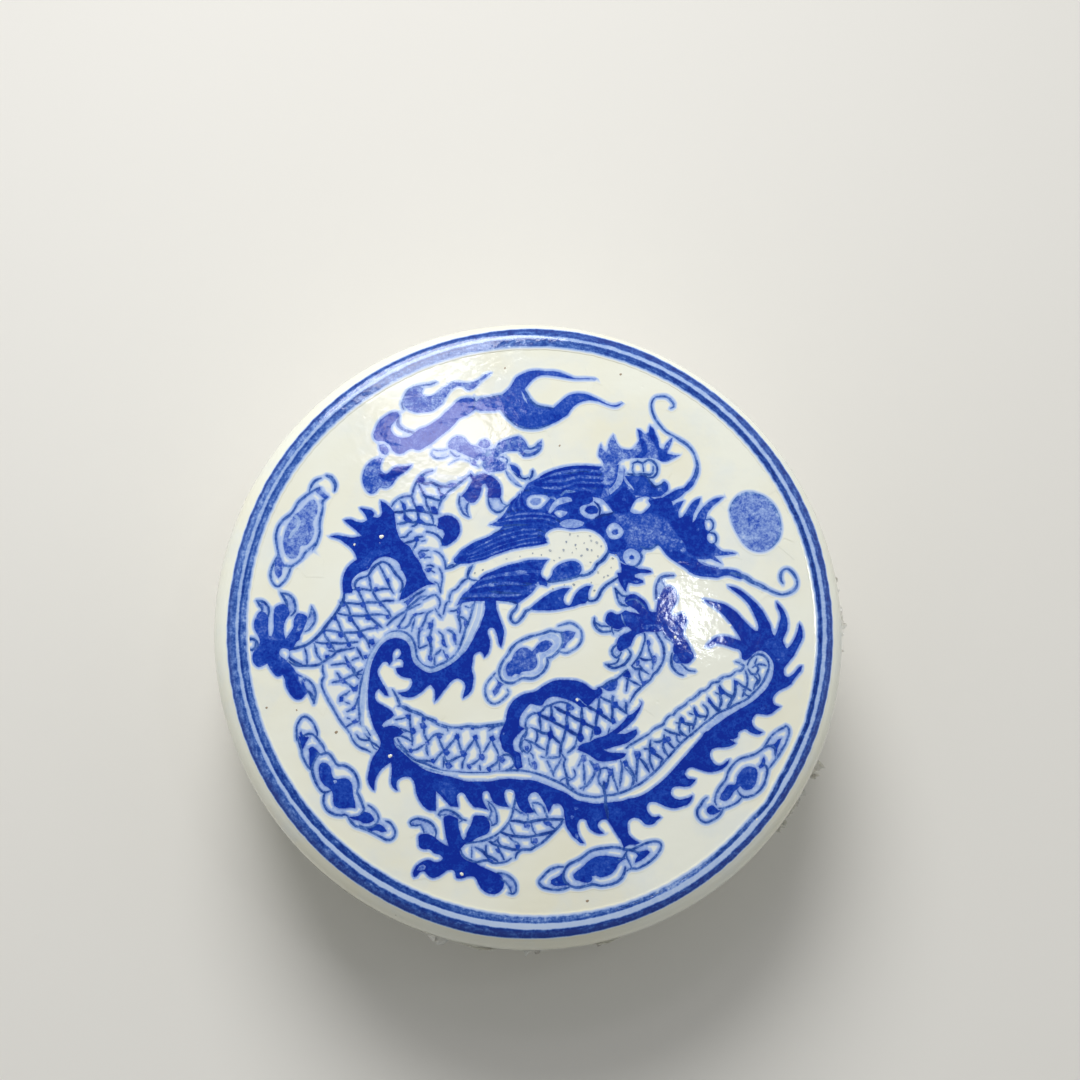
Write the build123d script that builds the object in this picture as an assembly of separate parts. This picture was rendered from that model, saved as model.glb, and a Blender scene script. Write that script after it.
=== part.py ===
from build123d import *
from math import sqrt
import os

# A round, shallow porcelain box for seal paste: a dish with an inner lip, a lid
# that drops over the lip, the paste, the sheet that covers it and the two halves
# of the clear film round the seam. Millimetres, +Z up. The origin is the middle
# of the foot ring, on the ground.

# Driving sizes shared by the lid and the dish
box_r = 40.0  # outer radius at the seam, of both
lid_wall = 2.6  # the lid's skirt
fit_gap = 0.4  # between the skirt's bore and the lip
lip_t = 2.2  # the dish's lip
lip_h = 3.5  # how far the lip stands above the seam

# The dish
foot_r = 31.0  # outer radius of the foot ring
foot_w = 2.5
foot_h = 1.8  # from the ground to the underside
foot_round = 0.5
belly_h = 9.0  # the curve from the foot ring out to the wall
wall_h = 7.2  # the upright wall, from the curve to the seam
floor_t = 3.5
well_round = 6.0  # between the well's wall and floor
lip_round = 0.7
seam_round = 0.4  # the outer edges on both sides of the seam

# The lid
side_h = 10.4  # from the seam to where the crown would meet the wall
crown_rise = 2.6  # of the crown, over the whole width
crown_t = 3.0
shoulder_round = 3.2
hollow_round = 2.0  # between the skirt's bore and the ceiling
skirt_round = 0.5  # the skirt's inner edge

# The paste
paste_gap = 0.05  # all round, so that it overlaps nothing
paste_h = 9.3  # at the well's wall
paste_rise = 1.3  # towards the middle

# The sheet on the paste
sheet_inset = 1.2  # from the paste's edge to the sheet's
sheet_gap = 0.1
sheet_t = 0.2

# The film round the seam, cut along the seam into two bands
film_gap = 0.05
film_t = 0.1
film_slit = 0.1  # from the seam to each band's cut edge
lid_film_h = 5.0
dish_film_h = 4.0

# Worked out from the sizes above
bore_r = box_r - lid_wall
lip_r = bore_r - fit_gap
well_r = lip_r - lip_t
floor_z = foot_h + floor_t
seam_z = foot_h + belly_h + wall_h
crown_z = seam_z + side_h + crown_rise


def cap_radius(half_width, rise):
    """The radius of the arc that rises so far over this half width."""
    return (half_width**2 + rise**2) / (2 * rise)


def cap_z(top_z, radius, at_r):
    """The height, at a distance from the axis, of an arc with its top on the axis."""
    return top_z - radius + sqrt(radius**2 - at_r**2)


def dome(top_z, radius, at_r):
    """The arc from its top on the axis out to a distance from the axis."""
    middle = at_r / 2
    return ThreePointArc(
        (0, top_z),
        (middle, cap_z(top_z, radius, middle)),
        (at_r, cap_z(top_z, radius, at_r)),
    )


def turned(profile):
    """Turns a closed profile, drawn as distance from the axis and height, about the axis."""
    return revolve(Plane.XZ * profile, Axis.Z)


def corner(profile, at_r, at_z):
    """The profile's corner at this distance from the axis and height."""
    return profile.vertices().sort_by_distance((at_r, at_z))[0]


def make_dish():
    """The dish: foot ring, curved belly, upright wall, ledge at the seam and inner lip."""
    foot_in_r = foot_r - foot_w
    lip_z = seam_z + lip_h
    wall_z = foot_h + belly_h
    belly = EllipticalCenterArc(
        (foot_r, wall_z), box_r - foot_r, belly_h, start_angle=270, arc_size=90
    )
    below = Polyline((0, foot_h), (foot_in_r, foot_h), (foot_in_r, 0), (foot_r, 0), (foot_r, foot_h))
    above = Polyline(
        (box_r, wall_z),
        (box_r, seam_z),
        (lip_r, seam_z),
        (lip_r, lip_z),
        (well_r, lip_z),
        (well_r, floor_z),
        (0, floor_z),
        (0, foot_h),
    )
    profile = make_face(below + belly + above)
    for at_r, at_z, radius in (
        (well_r, floor_z, well_round),
        (foot_in_r, 0, foot_round),
        (foot_r, 0, foot_round),
        (foot_in_r, foot_h, foot_round),
        (box_r, seam_z, seam_round),
        (lip_r, lip_z, lip_round),
        (well_r, lip_z, lip_round),
    ):
        profile = fillet(corner(profile, at_r, at_z), radius)
    return turned(profile)


def make_lid():
    """The lid: a domed crown, a rounded shoulder and a skirt that drops over the lip."""
    crown_r = cap_radius(box_r, crown_rise)
    ceiling_r = crown_r - crown_t
    ceiling_z = crown_z - crown_t
    edge_z = cap_z(crown_z, crown_r, box_r)
    hollow_z = cap_z(ceiling_z, ceiling_r, bore_r)
    sides = Polyline((box_r, edge_z), (box_r, seam_z), (bore_r, seam_z), (bore_r, hollow_z))
    axis = Line((0, ceiling_z), (0, crown_z))
    crown = dome(crown_z, crown_r, box_r)
    ceiling = dome(ceiling_z, ceiling_r, bore_r)
    profile = make_face(crown + sides + ceiling + axis)
    for at_r, at_z, radius in (
        (box_r, edge_z, shoulder_round),
        (bore_r, hollow_z, hollow_round),
        (box_r, seam_z, seam_round),
        (bore_r, seam_z, skirt_round),
    ):
        profile = fillet(corner(profile, at_r, at_z), radius)
    return turned(profile)


def paste_sizes():
    """The paste's radius, and the top and radius of its domed surface."""
    paste_r = well_r - paste_gap
    return paste_r, floor_z + paste_h + paste_rise, cap_radius(paste_r, paste_rise)


def make_paste():
    """The paste, which fills the well and rises a little towards the middle."""
    paste_r, top_z, surface_r = paste_sizes()
    under_z = floor_z + paste_gap
    edge_z = cap_z(top_z, surface_r, paste_r)
    sides = Polyline((paste_r, edge_z), (paste_r, under_z), (0, under_z), (0, top_z))
    profile = make_face(dome(top_z, surface_r, paste_r) + sides)
    profile = fillet(corner(profile, paste_r, under_z), well_round - paste_gap)
    return turned(profile)


def make_sheet():
    """The thin round sheet on the paste, which follows the paste's surface."""
    paste_r, top_z, surface_r = paste_sizes()
    sheet_r = paste_r - sheet_inset
    low_z = top_z + sheet_gap
    high_z = low_z + sheet_t
    low = dome(low_z, surface_r, sheet_r)
    high = dome(high_z, surface_r, sheet_r)
    edge = Line((sheet_r, cap_z(low_z, surface_r, sheet_r)), (sheet_r, cap_z(high_z, surface_r, sheet_r)))
    axis = Line((0, low_z), (0, high_z))
    return turned(make_face(low + edge + high + axis))


def make_film(low_z, height):
    """A band of the thin film round the box's wall."""
    film_r = box_r + film_gap
    band = Cylinder(film_r + film_t, height) - Cylinder(film_r, height)
    return Pos(0, 0, low_z + height / 2) * band


nodes = {
    "base_dish": make_dish(),
    "lid": make_lid(),
    "seal_paste": make_paste(),
    "paste_cover_sheet": make_sheet(),
    "base_seal_film": make_film(seam_z - film_slit - dish_film_h, dish_film_h),
    "lid_seal_film": make_film(seam_z + film_slit, lid_film_h),
}

os.makedirs("parts", exist_ok=True)
for name, shape in nodes.items():
    export_step(shape, f"parts/{name}.step")
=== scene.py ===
from math import acos, cos, degrees, hypot, pi, radians, sin, tan

import bpy
import numpy as np
from mathutils import Matrix, Vector
from mathutils.geometry import delaunay_2d_cdt
from mathutils.kdtree import KDTree


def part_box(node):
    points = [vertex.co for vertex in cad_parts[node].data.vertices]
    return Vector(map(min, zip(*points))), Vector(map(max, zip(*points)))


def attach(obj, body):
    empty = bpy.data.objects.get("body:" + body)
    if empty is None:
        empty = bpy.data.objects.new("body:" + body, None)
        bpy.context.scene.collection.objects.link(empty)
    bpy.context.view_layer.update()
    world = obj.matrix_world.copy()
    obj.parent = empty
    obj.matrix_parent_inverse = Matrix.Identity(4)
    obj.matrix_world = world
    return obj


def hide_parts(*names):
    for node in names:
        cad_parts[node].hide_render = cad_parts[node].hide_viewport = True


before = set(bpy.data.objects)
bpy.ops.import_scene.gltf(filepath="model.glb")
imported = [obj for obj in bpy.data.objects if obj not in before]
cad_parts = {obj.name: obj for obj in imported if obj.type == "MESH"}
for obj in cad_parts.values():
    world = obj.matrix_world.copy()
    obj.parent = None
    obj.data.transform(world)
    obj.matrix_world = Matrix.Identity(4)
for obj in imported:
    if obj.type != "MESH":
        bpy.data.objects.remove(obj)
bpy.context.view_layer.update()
mm = 0.001

# The dish. A shallow bowl thrown in white porcelain, with a turned foot ring and an inner
# lip. It is glazed all over but for the foot, the ledge and the lip, where it stood in the
# kiln or touched the lid, and where the clay shows buff, dry and a little gritty.


def tone(red, green, blue):
    """A colour as it is written for a screen, from 0 to 255, as the shaders take it."""
    def linear(part):
        part /= 255
        return part / 12.92 if part <= 0.04045 else ((part + 0.055) / 1.055) ** 2.4
    return (linear(red), linear(green), linear(blue), 1.0)


class Finish:
    """A new material with its shader, and short ways to add and join its nodes."""

    def __init__(self, name):
        self.material = bpy.data.materials.new(name)
        self.material.use_nodes = True
        self.tree = self.material.node_tree
        self.shader = self.tree.nodes["Principled BSDF"]
        self.place = self.add("ShaderNodeTexCoord").outputs["Object"]

    def add(self, kind, **settings):
        node = self.tree.nodes.new(kind)
        for key, value in settings.items():
            setattr(node, key, value)
        return node

    def put(self, value, socket):
        """Sets a socket to a plain value, or joins it to another node's output."""
        if isinstance(value, bpy.types.NodeSocket):
            self.tree.links.new(value, socket)
        elif value is not None:
            socket.default_value = value

    def math(self, operation, *values, clamp=False):
        node = self.add("ShaderNodeMath", operation=operation, use_clamp=clamp)
        for value, socket in zip(values, node.inputs):
            self.put(value, socket)
        return node.outputs[0]

    def noise(self, scale, detail=2.0, roughness=0.5, distortion=0.0, place=None):
        """A soft random pattern, with about so many lumps a metre as its scale says."""
        node = self.add("ShaderNodeTexNoise")
        self.put(place or self.place, node.inputs["Vector"])
        for value, name in ((scale, "Scale"), (detail, "Detail"), (roughness, "Roughness"),
                            (distortion, "Distortion")):
            self.put(value, node.inputs[name])
        return node.outputs["Fac"]

    def cells(self, scale, output="Distance"):
        """A pattern of cells: the distance to a cell's middle, or the cell's random colour."""
        node = self.add("ShaderNodeTexVoronoi")
        self.put(self.place, node.inputs["Vector"])
        self.put(scale, node.inputs["Scale"])
        return node.outputs[output]

    def span(self, value, low, high, out_low=0.0, out_high=1.0, soft=False):
        """Maps a range of a value to another range, and holds it there outside."""
        node = self.add("ShaderNodeMapRange", clamp=True)
        node.interpolation_type = "SMOOTHSTEP" if soft else "LINEAR"
        for given, name in ((value, "Value"), (low, "From Min"), (high, "From Max"),
                            (out_low, "To Min"), (out_high, "To Max")):
            self.put(given, node.inputs[name])
        return node.outputs[0]

    def mix(self, share, first, second):
        """A blend of two colours, by the second one's share."""
        node = self.add("ShaderNodeMix", data_type="RGBA")
        self.put(share, node.inputs[0])
        self.put(first, node.inputs[6])
        self.put(second, node.inputs[7])
        return node.outputs[2]

    def ramp(self, value, *stops):
        """A colour ramp with stops of a place from 0 to 1 and a colour."""
        node = self.add("ShaderNodeValToRGB")
        ramp = node.color_ramp
        while len(ramp.elements) < len(stops):
            ramp.elements.new(0.5)
        for element, (place, colour) in zip(ramp.elements, stops):
            element.position = place
            element.color = colour
        self.put(value, node.inputs[0])
        return node.outputs["Color"]

    def bump(self, height, strength, depth, under=None):
        """A surface that a pattern raises by so much, over the surface under it."""
        node = self.add("ShaderNodeBump")
        self.put(strength, node.inputs["Strength"])
        self.put(depth, node.inputs["Distance"])
        self.put(height, node.inputs["Height"])
        self.put(under, node.inputs["Normal"])
        return node.outputs["Normal"]

    def axes(self):
        """The distance from the box's axis and the height, in metres."""
        parts = self.add("ShaderNodeSeparateXYZ")
        self.put(self.place, parts.inputs[0])
        x, y, z = parts.outputs
        square = self.math("ADD", self.math("MULTIPLY", x, x), self.math("MULTIPLY", y, y))
        return self.math("SQRT", square), z

    def finish(self, **values):
        """Puts values and outputs on the shader's own sockets, and gives the material."""
        for name, value in values.items():
            self.put(value, self.shader.inputs[name.replace("_", " ")])
        return self.material


glaze_white = tone(236, 237, 224)
glaze_warm = tone(233, 231, 211)
glaze_cool = tone(222, 228, 227)
speck_brown = tone(92, 78, 62)
clay_buff = tone(214, 200, 178)
clay_dark = tone(188, 166, 138)
clay_light = tone(226, 215, 196)
clay_flush = tone(205, 160, 120)
clay_rough = 0.86
clay_wander = 0.16 * mm  # how far the edge of the bare clay wanders
clay_grain = 0.05 * mm
glaze_bends = 1.52  # the glaze's index of refraction
# How deep the glaze's slow swell, its waves, its ripples, its orange peel and its pits are
glaze_swell = 0.3 * mm
glaze_waves = 0.06 * mm
glaze_ripples = 0.034 * mm
glaze_peel = 0.02 * mm
glaze_pits = 0.05 * mm
speck_cells = 420  # cells a metre in the specks' pattern


def glaze_look(finish):
    """The glaze's colour, gloss and surface, which the dish, the lid and the painting share."""
    broad = finish.noise(55, 3, 0.55)
    cloudy = finish.noise(140, 4, 0.6)
    colour = finish.mix(finish.span(broad, 0.42, 0.66), glaze_white, glaze_warm)
    colour = finish.mix(finish.span(cloudy, 0.5, 0.72, 0, 0.6), colour, glaze_cool)
    # Iron specks: a few cells of a sparse pattern hold a dot, each of its own size
    to_centre = finish.cells(speck_cells)
    draw = finish.add("ShaderNodeSeparateColor")
    finish.put(finish.cells(speck_cells, "Color"), draw.inputs[0])
    dot_size = finish.span(draw.outputs[0], 0.93, 1.0, 0.0, 0.085)
    dot = finish.math("LESS_THAN", to_centre, dot_size)
    faint = finish.math("MULTIPLY", dot, finish.span(draw.outputs[1], 0, 1, 0.25, 0.8))
    colour = finish.mix(faint, colour, speck_brown)
    # The slow swell, waves and ripples of a thick glaze, its orange peel and its pits
    peel = finish.noise(900, 3, 0.5)
    waves = finish.noise(120, 2, 0.5)
    slow = finish.noise(38, 1, 0.5)
    pits = finish.span(finish.cells(260), 0.0, 0.06, -1.0, 0.0, soft=True)
    surface = finish.bump(slow, 1.0, glaze_swell)
    surface = finish.bump(waves, 1.0, glaze_waves, surface)
    surface = finish.bump(finish.noise(380, 2, 0.5), 1.0, glaze_ripples, surface)
    surface = finish.bump(peel, 1.0, glaze_peel, surface)
    surface = finish.bump(pits, 0.35, glaze_pits, surface)
    gloss = finish.span(finish.noise(70, 3, 0.6), 0.35, 0.7, 0.05, 0.12)
    return colour, gloss, surface


def porcelain(name, bare):
    """Glazed porcelain that shows bare clay where bare(finish, distance, height) is 1."""
    finish = Finish(name)
    colour, gloss, surface = glaze_look(finish)
    distance, height = finish.axes()
    wander = finish.span(finish.noise(300, 3, 0.6), 0.3, 0.7, -clay_wander, clay_wander)
    share = bare(finish, finish.math("ADD", distance, wander), finish.math("ADD", height, wander))
    mottle = finish.noise(650, 4, 0.65)
    clay = finish.ramp(mottle, (0.3, clay_dark), (0.55, clay_buff), (0.8, clay_light))
    # The clay flushed orange in a thin line along the glaze's edge
    edge = finish.math("MULTIPLY", share, finish.math("SUBTRACT", 1.0, share))
    flush = finish.math("MULTIPLY", edge, 2.4, clamp=True)
    colour = finish.mix(finish.span(share, 0.35, 0.65, soft=True), colour, clay)
    colour = finish.mix(flush, colour, clay_flush)
    grain = finish.bump(finish.noise(2600, 3, 0.7), 0.7, clay_grain, surface)
    rough = finish.span(share, 0.4, 0.6, soft=True)
    normal = finish.add("ShaderNodeMix", data_type="VECTOR")
    finish.put(rough, normal.inputs[0])
    finish.put(surface, normal.inputs[4])
    finish.put(grain, normal.inputs[5])
    dry = finish.add("ShaderNodeMix", data_type="FLOAT")
    finish.put(rough, dry.inputs[0])
    finish.put(gloss, dry.inputs[2])
    finish.put(clay_rough, dry.inputs[3])
    return finish.finish(
        Base_Color=colour, Roughness=dry.outputs[0], Normal=normal.outputs[1], IOR=glaze_bends)


# Between which heights, or distances from the axis, the glaze gives way to bare clay
sole_edge = (0.45 * mm, 0.75 * mm)
ledge_edge = (17.45 * mm, 17.85 * mm)
lip_side_edge = (36.3 * mm, 36.7 * mm)
lip_top_edge = (21.0 * mm, 21.3 * mm)


def dish_bare(finish, distance, height):
    """The foot ring's sole, the ledge that carries the lid, and the lip's outside and top."""
    sole = finish.span(height, *sole_edge, 1.0, 0.0)
    above = finish.span(height, *ledge_edge)
    outside = finish.span(distance, *lip_side_edge)
    rim = finish.span(height, *lip_top_edge)
    upper = finish.math("MAXIMUM", finish.math("MULTIPLY", above, outside), rim)
    return finish.math("MAXIMUM", sole, upper)


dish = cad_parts["base_dish"]
dish_finish = porcelain("dish_porcelain", dish_bare)
dish.data.materials.clear()
dish.data.materials.append(dish_finish)


# The seal paste. Cinnabar, oil and combed plant fibre, kneaded and pressed into the dish with
# a spatula: a soft, oily cake with a swirl, lumps and short fibres standing in its skin.
paste_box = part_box("seal_paste")
paste_r = paste_box[1].x
paste_top = paste_box[1].z
paste_under = paste_box[0].z
paste_edge = 14.6 * mm  # where the cake's skin meets the well's wall
paste_side = 1.2 * mm  # how far down its side starts, below that edge
paste_round = 5.95 * mm  # between its side and its underside, as the well has
paste_rings = 110
paste_steps = 300
swirl_pitch = 3.9 * mm  # between the ridges that the spatula left
swirl_wander = 30 * mm
lump_size = 5.5 * mm
crumb_size = 1.6 * mm
wall_drag = 1.6 * mm  # how far in from the wall the skin was dragged down
paste_relief = 0.85 * mm


def deselect_all():
    """Leaves edit mode, with nothing selected."""
    if bpy.context.object and bpy.context.object.mode != "OBJECT":
        bpy.ops.object.mode_set(mode="OBJECT")
    bpy.ops.object.select_all(action="DESELECT")


def pick(piece):
    """Makes one piece the only one that operators act on."""
    deselect_all()
    piece.select_set(True)
    bpy.context.view_layer.objects.active = piece


def new_piece(name, points, edges=(), faces=()):
    mesh = bpy.data.meshes.new(name)
    mesh.from_pydata(points, edges, faces)
    mesh.update()
    piece = bpy.data.objects.new(name, mesh)
    bpy.context.scene.collection.objects.link(piece)
    pick(piece)
    return piece


def turned(name, profile, steps):
    """Turns a line of (distance, height) about the box's axis, and closes its poles."""
    points = [(distance, 0, height) for distance, height in profile]
    piece = new_piece(name, points, [(i, i + 1) for i in range(len(points) - 1)])
    bpy.ops.object.mode_set(mode="EDIT")
    bpy.ops.mesh.select_all(action="SELECT")
    bpy.ops.mesh.spin(steps=steps, angle=2 * pi, center=(0, 0, 0), axis=(0, 0, 1))
    bpy.ops.mesh.select_all(action="SELECT")
    bpy.ops.mesh.remove_doubles(threshold=0.002 * mm)
    bpy.ops.mesh.normals_make_consistent(inside=False)
    bpy.ops.object.mode_set(mode="OBJECT")
    return piece


def points_of(piece):
    flat = np.zeros(len(piece.data.vertices) * 3, np.float32)
    piece.data.vertices.foreach_get("co", flat)
    return flat.reshape(-1, 3).astype(float)


def move_points(piece, points):
    piece.data.vertices.foreach_set("co", np.asarray(points, np.float32).ravel())
    piece.data.update()


def apply_modifier(piece, kind, **settings):
    pick(piece)
    modifier = piece.modifiers.new(kind.lower(), kind)
    for key, value in settings.items():
        setattr(modifier, key, value)
    bpy.ops.object.modifier_apply(modifier=modifier.name)


def ripple(x, y, size, seed, octaves=3):
    """Soft lumps between -1 and 1 over a plane, of about this size, always the same."""
    draw = np.random.default_rng(seed)
    total = np.zeros_like(x)
    weight = 0.0
    for octave in range(octaves):
        for _ in range(7):
            turn, shift = draw.uniform(0, 2 * pi, 2)
            wave = 2 * pi / size * 2**octave * draw.uniform(0.7, 1.3)
            total += 0.5**octave * np.sin(wave * (x * cos(turn) + y * sin(turn)) + shift)
            weight += 0.5**octave * 0.42
    return np.clip(total / weight, -1, 1)


skin = [(paste_r * i / paste_rings, paste_top - (paste_top - paste_edge) * (i / paste_rings) ** 2)
        for i in range(paste_rings + 1)]
side = [(paste_r, paste_edge - paste_side), (paste_r, paste_under + paste_round)]
heel = [(paste_r - paste_round * (1 - cos(t)), paste_under + paste_round * (1 - sin(t)))
        for t in (0.4, 0.8, 1.2, pi / 2)]
paste = turned("seal_paste_cake", skin + side + heel + [(0, paste_under)], paste_steps)
at = points_of(paste)
away = np.hypot(at[:, 0], at[:, 1])
turn = np.arctan2(at[:, 1], at[:, 0])
on_skin = np.clip((at[:, 2] - paste_edge + 0.4 * mm) / (0.5 * mm), 0, 1)
swirl = np.sin(turn * 2 + away / swirl_pitch + 0.9 * ripple(at[:, 0], at[:, 1], swirl_wander, 3))
ridges = np.abs(swirl) ** 0.6 * np.sign(swirl)
lumps = ripple(at[:, 0], at[:, 1], lump_size, 5)
crumbs = ripple(at[:, 0], at[:, 1], crumb_size, 8)
edge_fall = np.clip((away - paste_r + wall_drag) / wall_drag, 0, 1) ** 2
middle = np.clip(away / (4 * mm), 0, 1)
dent = 0.20 * (1 - ridges * middle) + 0.16 * (1 - lumps) + 0.06 * (1 - crumbs) + 0.55 * edge_fall
at[:, 2] -= on_skin * dent * paste_relief
at[:, 2] = np.maximum(at[:, 2], paste_under)
move_points(paste, at)
pick(paste)
bpy.ops.object.shade_smooth()
finish = Finish("vermilion_paste")
depth = finish.noise(420, 5, 0.65, 0.3)
streak = finish.add("ShaderNodeMapping")
finish.put(finish.place, streak.inputs["Vector"])
streak.inputs["Scale"].default_value = (1.0, 0.22, 1.0)
streak.inputs["Rotation"].default_value = (0, 0, radians(28))
fibre = finish.noise(2600, 4, 0.7, 1.4, place=streak.outputs[0])
colour = finish.ramp(depth, (0.28, tone(142, 12, 8)), (0.46, tone(190, 24, 14)), (0.62, tone(212, 38, 22)),
                     (0.85, tone(228, 66, 40)))
colour = finish.mix(finish.span(fibre, 0.58, 0.74, 0, 0.5), colour, tone(238, 96, 62))
colour = finish.mix(finish.span(fibre, 0.3, 0.42, 0.45, 0), colour, tone(112, 8, 6))
oil = finish.span(finish.noise(240, 3, 0.6), 0.38, 0.62, 0.26, 0.62)
surface = finish.bump(depth, 0.8, 0.25 * mm)
surface = finish.bump(fibre, 0.9, 0.09 * mm, surface)
paste.data.materials.append(finish.finish(
    Base_Color=colour, Roughness=oil, Normal=surface, Coat_Weight=0.15, Coat_Roughness=0.22))
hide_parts("seal_paste")
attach(paste, "base")


# The cover sheet. A loose disc of thin clear film, cut by hand and laid on the fresh paste so
# that it doesn't dry or touch the lid. It lies in faint folds, and oil has crept under it.
sheet_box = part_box("paste_cover_sheet")
sheet_spare = 0.35 * mm  # left free inside the node's edge for the hand-cut outline
sheet_r = sheet_box[1].x - sheet_spare
sheet_thick = 0.05 * mm
sheet_rings = 84
sheet_steps = 240
sheet_above = 0.1 * mm  # over the paste
fold_size = 26 * mm
fold_height = 0.14  # in millimetres
pillow_size = 17 * mm  # of the air that lies under it
pillow_height = 0.1  # in millimetres
sheet_line = [(sheet_r * i / sheet_rings, 0.0) for i in range(sheet_rings + 1)]
sheet = turned("paste_cover_film", sheet_line, sheet_steps)
at = points_of(sheet)
away = np.hypot(at[:, 0], at[:, 1])
turn = np.arctan2(at[:, 1], at[:, 0])
cut = 1 + 0.006 * np.sin(3 * turn + 0.7) + 0.003 * np.sin(11 * turn)
at[:, 0] *= 1 - (1 - cut) * (away / sheet_r)
at[:, 1] *= 1 - (1 - cut) * (away / sheet_r)
low = paste_top + sheet_above - (paste_top - paste_edge) * (away / paste_r) ** 2
fold = np.abs(ripple(at[:, 0], at[:, 1], fold_size, 21, 2))
crease = 1 - np.clip(fold / 0.22, 0, 1)
pillow = 0.5 + 0.5 * ripple(at[:, 0], at[:, 1], pillow_size, 22, 2)
at[:, 2] = low + (fold_height * crease + pillow_height * pillow) * mm
at[:, 2] = np.minimum(at[:, 2], sheet_box[1].z - sheet_thick)
move_points(sheet, at)
apply_modifier(sheet, "SOLIDIFY", thickness=sheet_thick, offset=1.0)
pick(sheet)
bpy.ops.object.shade_smooth_by_angle(angle=radians(40))
finish = Finish("clear_cover_film")
wrinkle = finish.noise(210, 3, 0.5, 0.6)
haze = finish.span(finish.noise(90, 3, 0.6), 0.4, 0.7, 0.04, 0.2)
surface = finish.bump(wrinkle, 0.5, 0.2 * mm)
oiled = finish.span(finish.noise(150, 3, 0.6), 0.45, 0.7)
colour = finish.mix(oiled, tone(250, 248, 246), tone(252, 232, 224))
sheet.data.materials.append(finish.finish(
    Base_Color=colour, Roughness=haze, Normal=surface, Transmission_Weight=1.0, IOR=1.3, Alpha=0.45))
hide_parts("paste_cover_sheet")
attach(sheet, "paste_cover")


# The lid. A low dome of the same porcelain, thrown as one piece with its skirt, which drops
# over the dish's lip. It is glazed inside and out, and bare only on the skirt's rim.
skirt_edge = (18.3 * mm, 18.65 * mm)  # bare clay gives way to glaze between these heights


def lid_bare(finish, distance, height):
    """The skirt's rim, which stood on the kiln shelf's ring or on the dish."""
    return finish.span(height, *skirt_edge, 1.0, 0.0)


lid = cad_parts["lid"]
lid.data.materials.clear()
lid.data.materials.append(porcelain("lid_porcelain", lid_bare))


# The picture on the lid. A four-clawed dragon with a pearl among clouds, brushed in cobalt on
# the raw glaze before the firing, dark where the brush was full and bleeding a little at the
# edges. Its marks are placed where the eye sees them from the camera's place.
crown_ball = 308.99  # radius of the lid's crown, in millimetres
crown_top = 31.0
shoulder_from = 37.185  # the crown meets the shoulder's round at this distance
shoulder_mid = (36.8, 25.577)
shoulder_round = 3.2
lens_pixels = 2000.0  # the camera's focal length, in pixels of a picture 1080 wide
picture_half = 540.0
camera_gap = 252.0  # from the lid's middle to the camera
camera_lean = (-4.0, -7.5)  # degrees off the upright, to the right and to the top of the picture
lid_centre = (0.0, 0.0, 28.5)
lid_pixel = (533.0, 626.6)  # where that point is seen
drawn_pixel = (529.5, 632.5)  # where the marks' own origin is seen
drawn_scale = 7.92  # pixels a millimetre


def unit(vector):
    """The same way, one long."""
    return vector / np.linalg.norm(vector)


outward = unit(np.array([tan(radians(camera_lean[0])), tan(radians(camera_lean[1])), 1.0]))
eye = np.array(lid_centre) + camera_gap * outward
across = unit(np.cross(-outward, (0, 1, 0)))
up = np.cross(across, -outward)
aim = unit(-outward - across * (lid_pixel[0] - picture_half) / lens_pixels
           + up * (lid_pixel[1] - picture_half) / lens_pixels)
across = unit(np.cross(aim, (0, 1, 0)))
up = np.cross(across, aim)


def lid_height(away):
    """The height of the lid's outside, in millimetres, at these distances from its axis."""
    dome = crown_top - crown_ball + np.sqrt(crown_ball**2 - np.minimum(away, shoulder_from) ** 2)
    reach = np.clip(shoulder_round**2 - (away - shoulder_mid[0]) ** 2, 0, None)
    return np.where(away < shoulder_from, dome, shoulder_mid[1] + np.sqrt(reach))


def on_lid(x, y, lift):
    """Where marks drawn in millimetres on the picture's face lie on the lid, so far above it."""
    right = drawn_pixel[0] + drawn_scale * np.asarray(x) - picture_half
    down = drawn_pixel[1] - drawn_scale * np.asarray(y) - picture_half
    ray = aim[None] * lens_pixels + across[None] * right[:, None] - up[None] * down[:, None]
    reach = (crown_top - eye[2]) / ray[:, 2]
    for _ in range(12):
        spot = eye + ray * reach[:, None]
        height = lid_height(np.hypot(spot[:, 0], spot[:, 1])) + lift
        reach = (height - eye[2]) / ray[:, 2]
    spot = eye + ray * reach[:, None]
    spot[:, 2] = lid_height(np.hypot(spot[:, 0], spot[:, 1])) + lift
    return spot * mm


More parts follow.
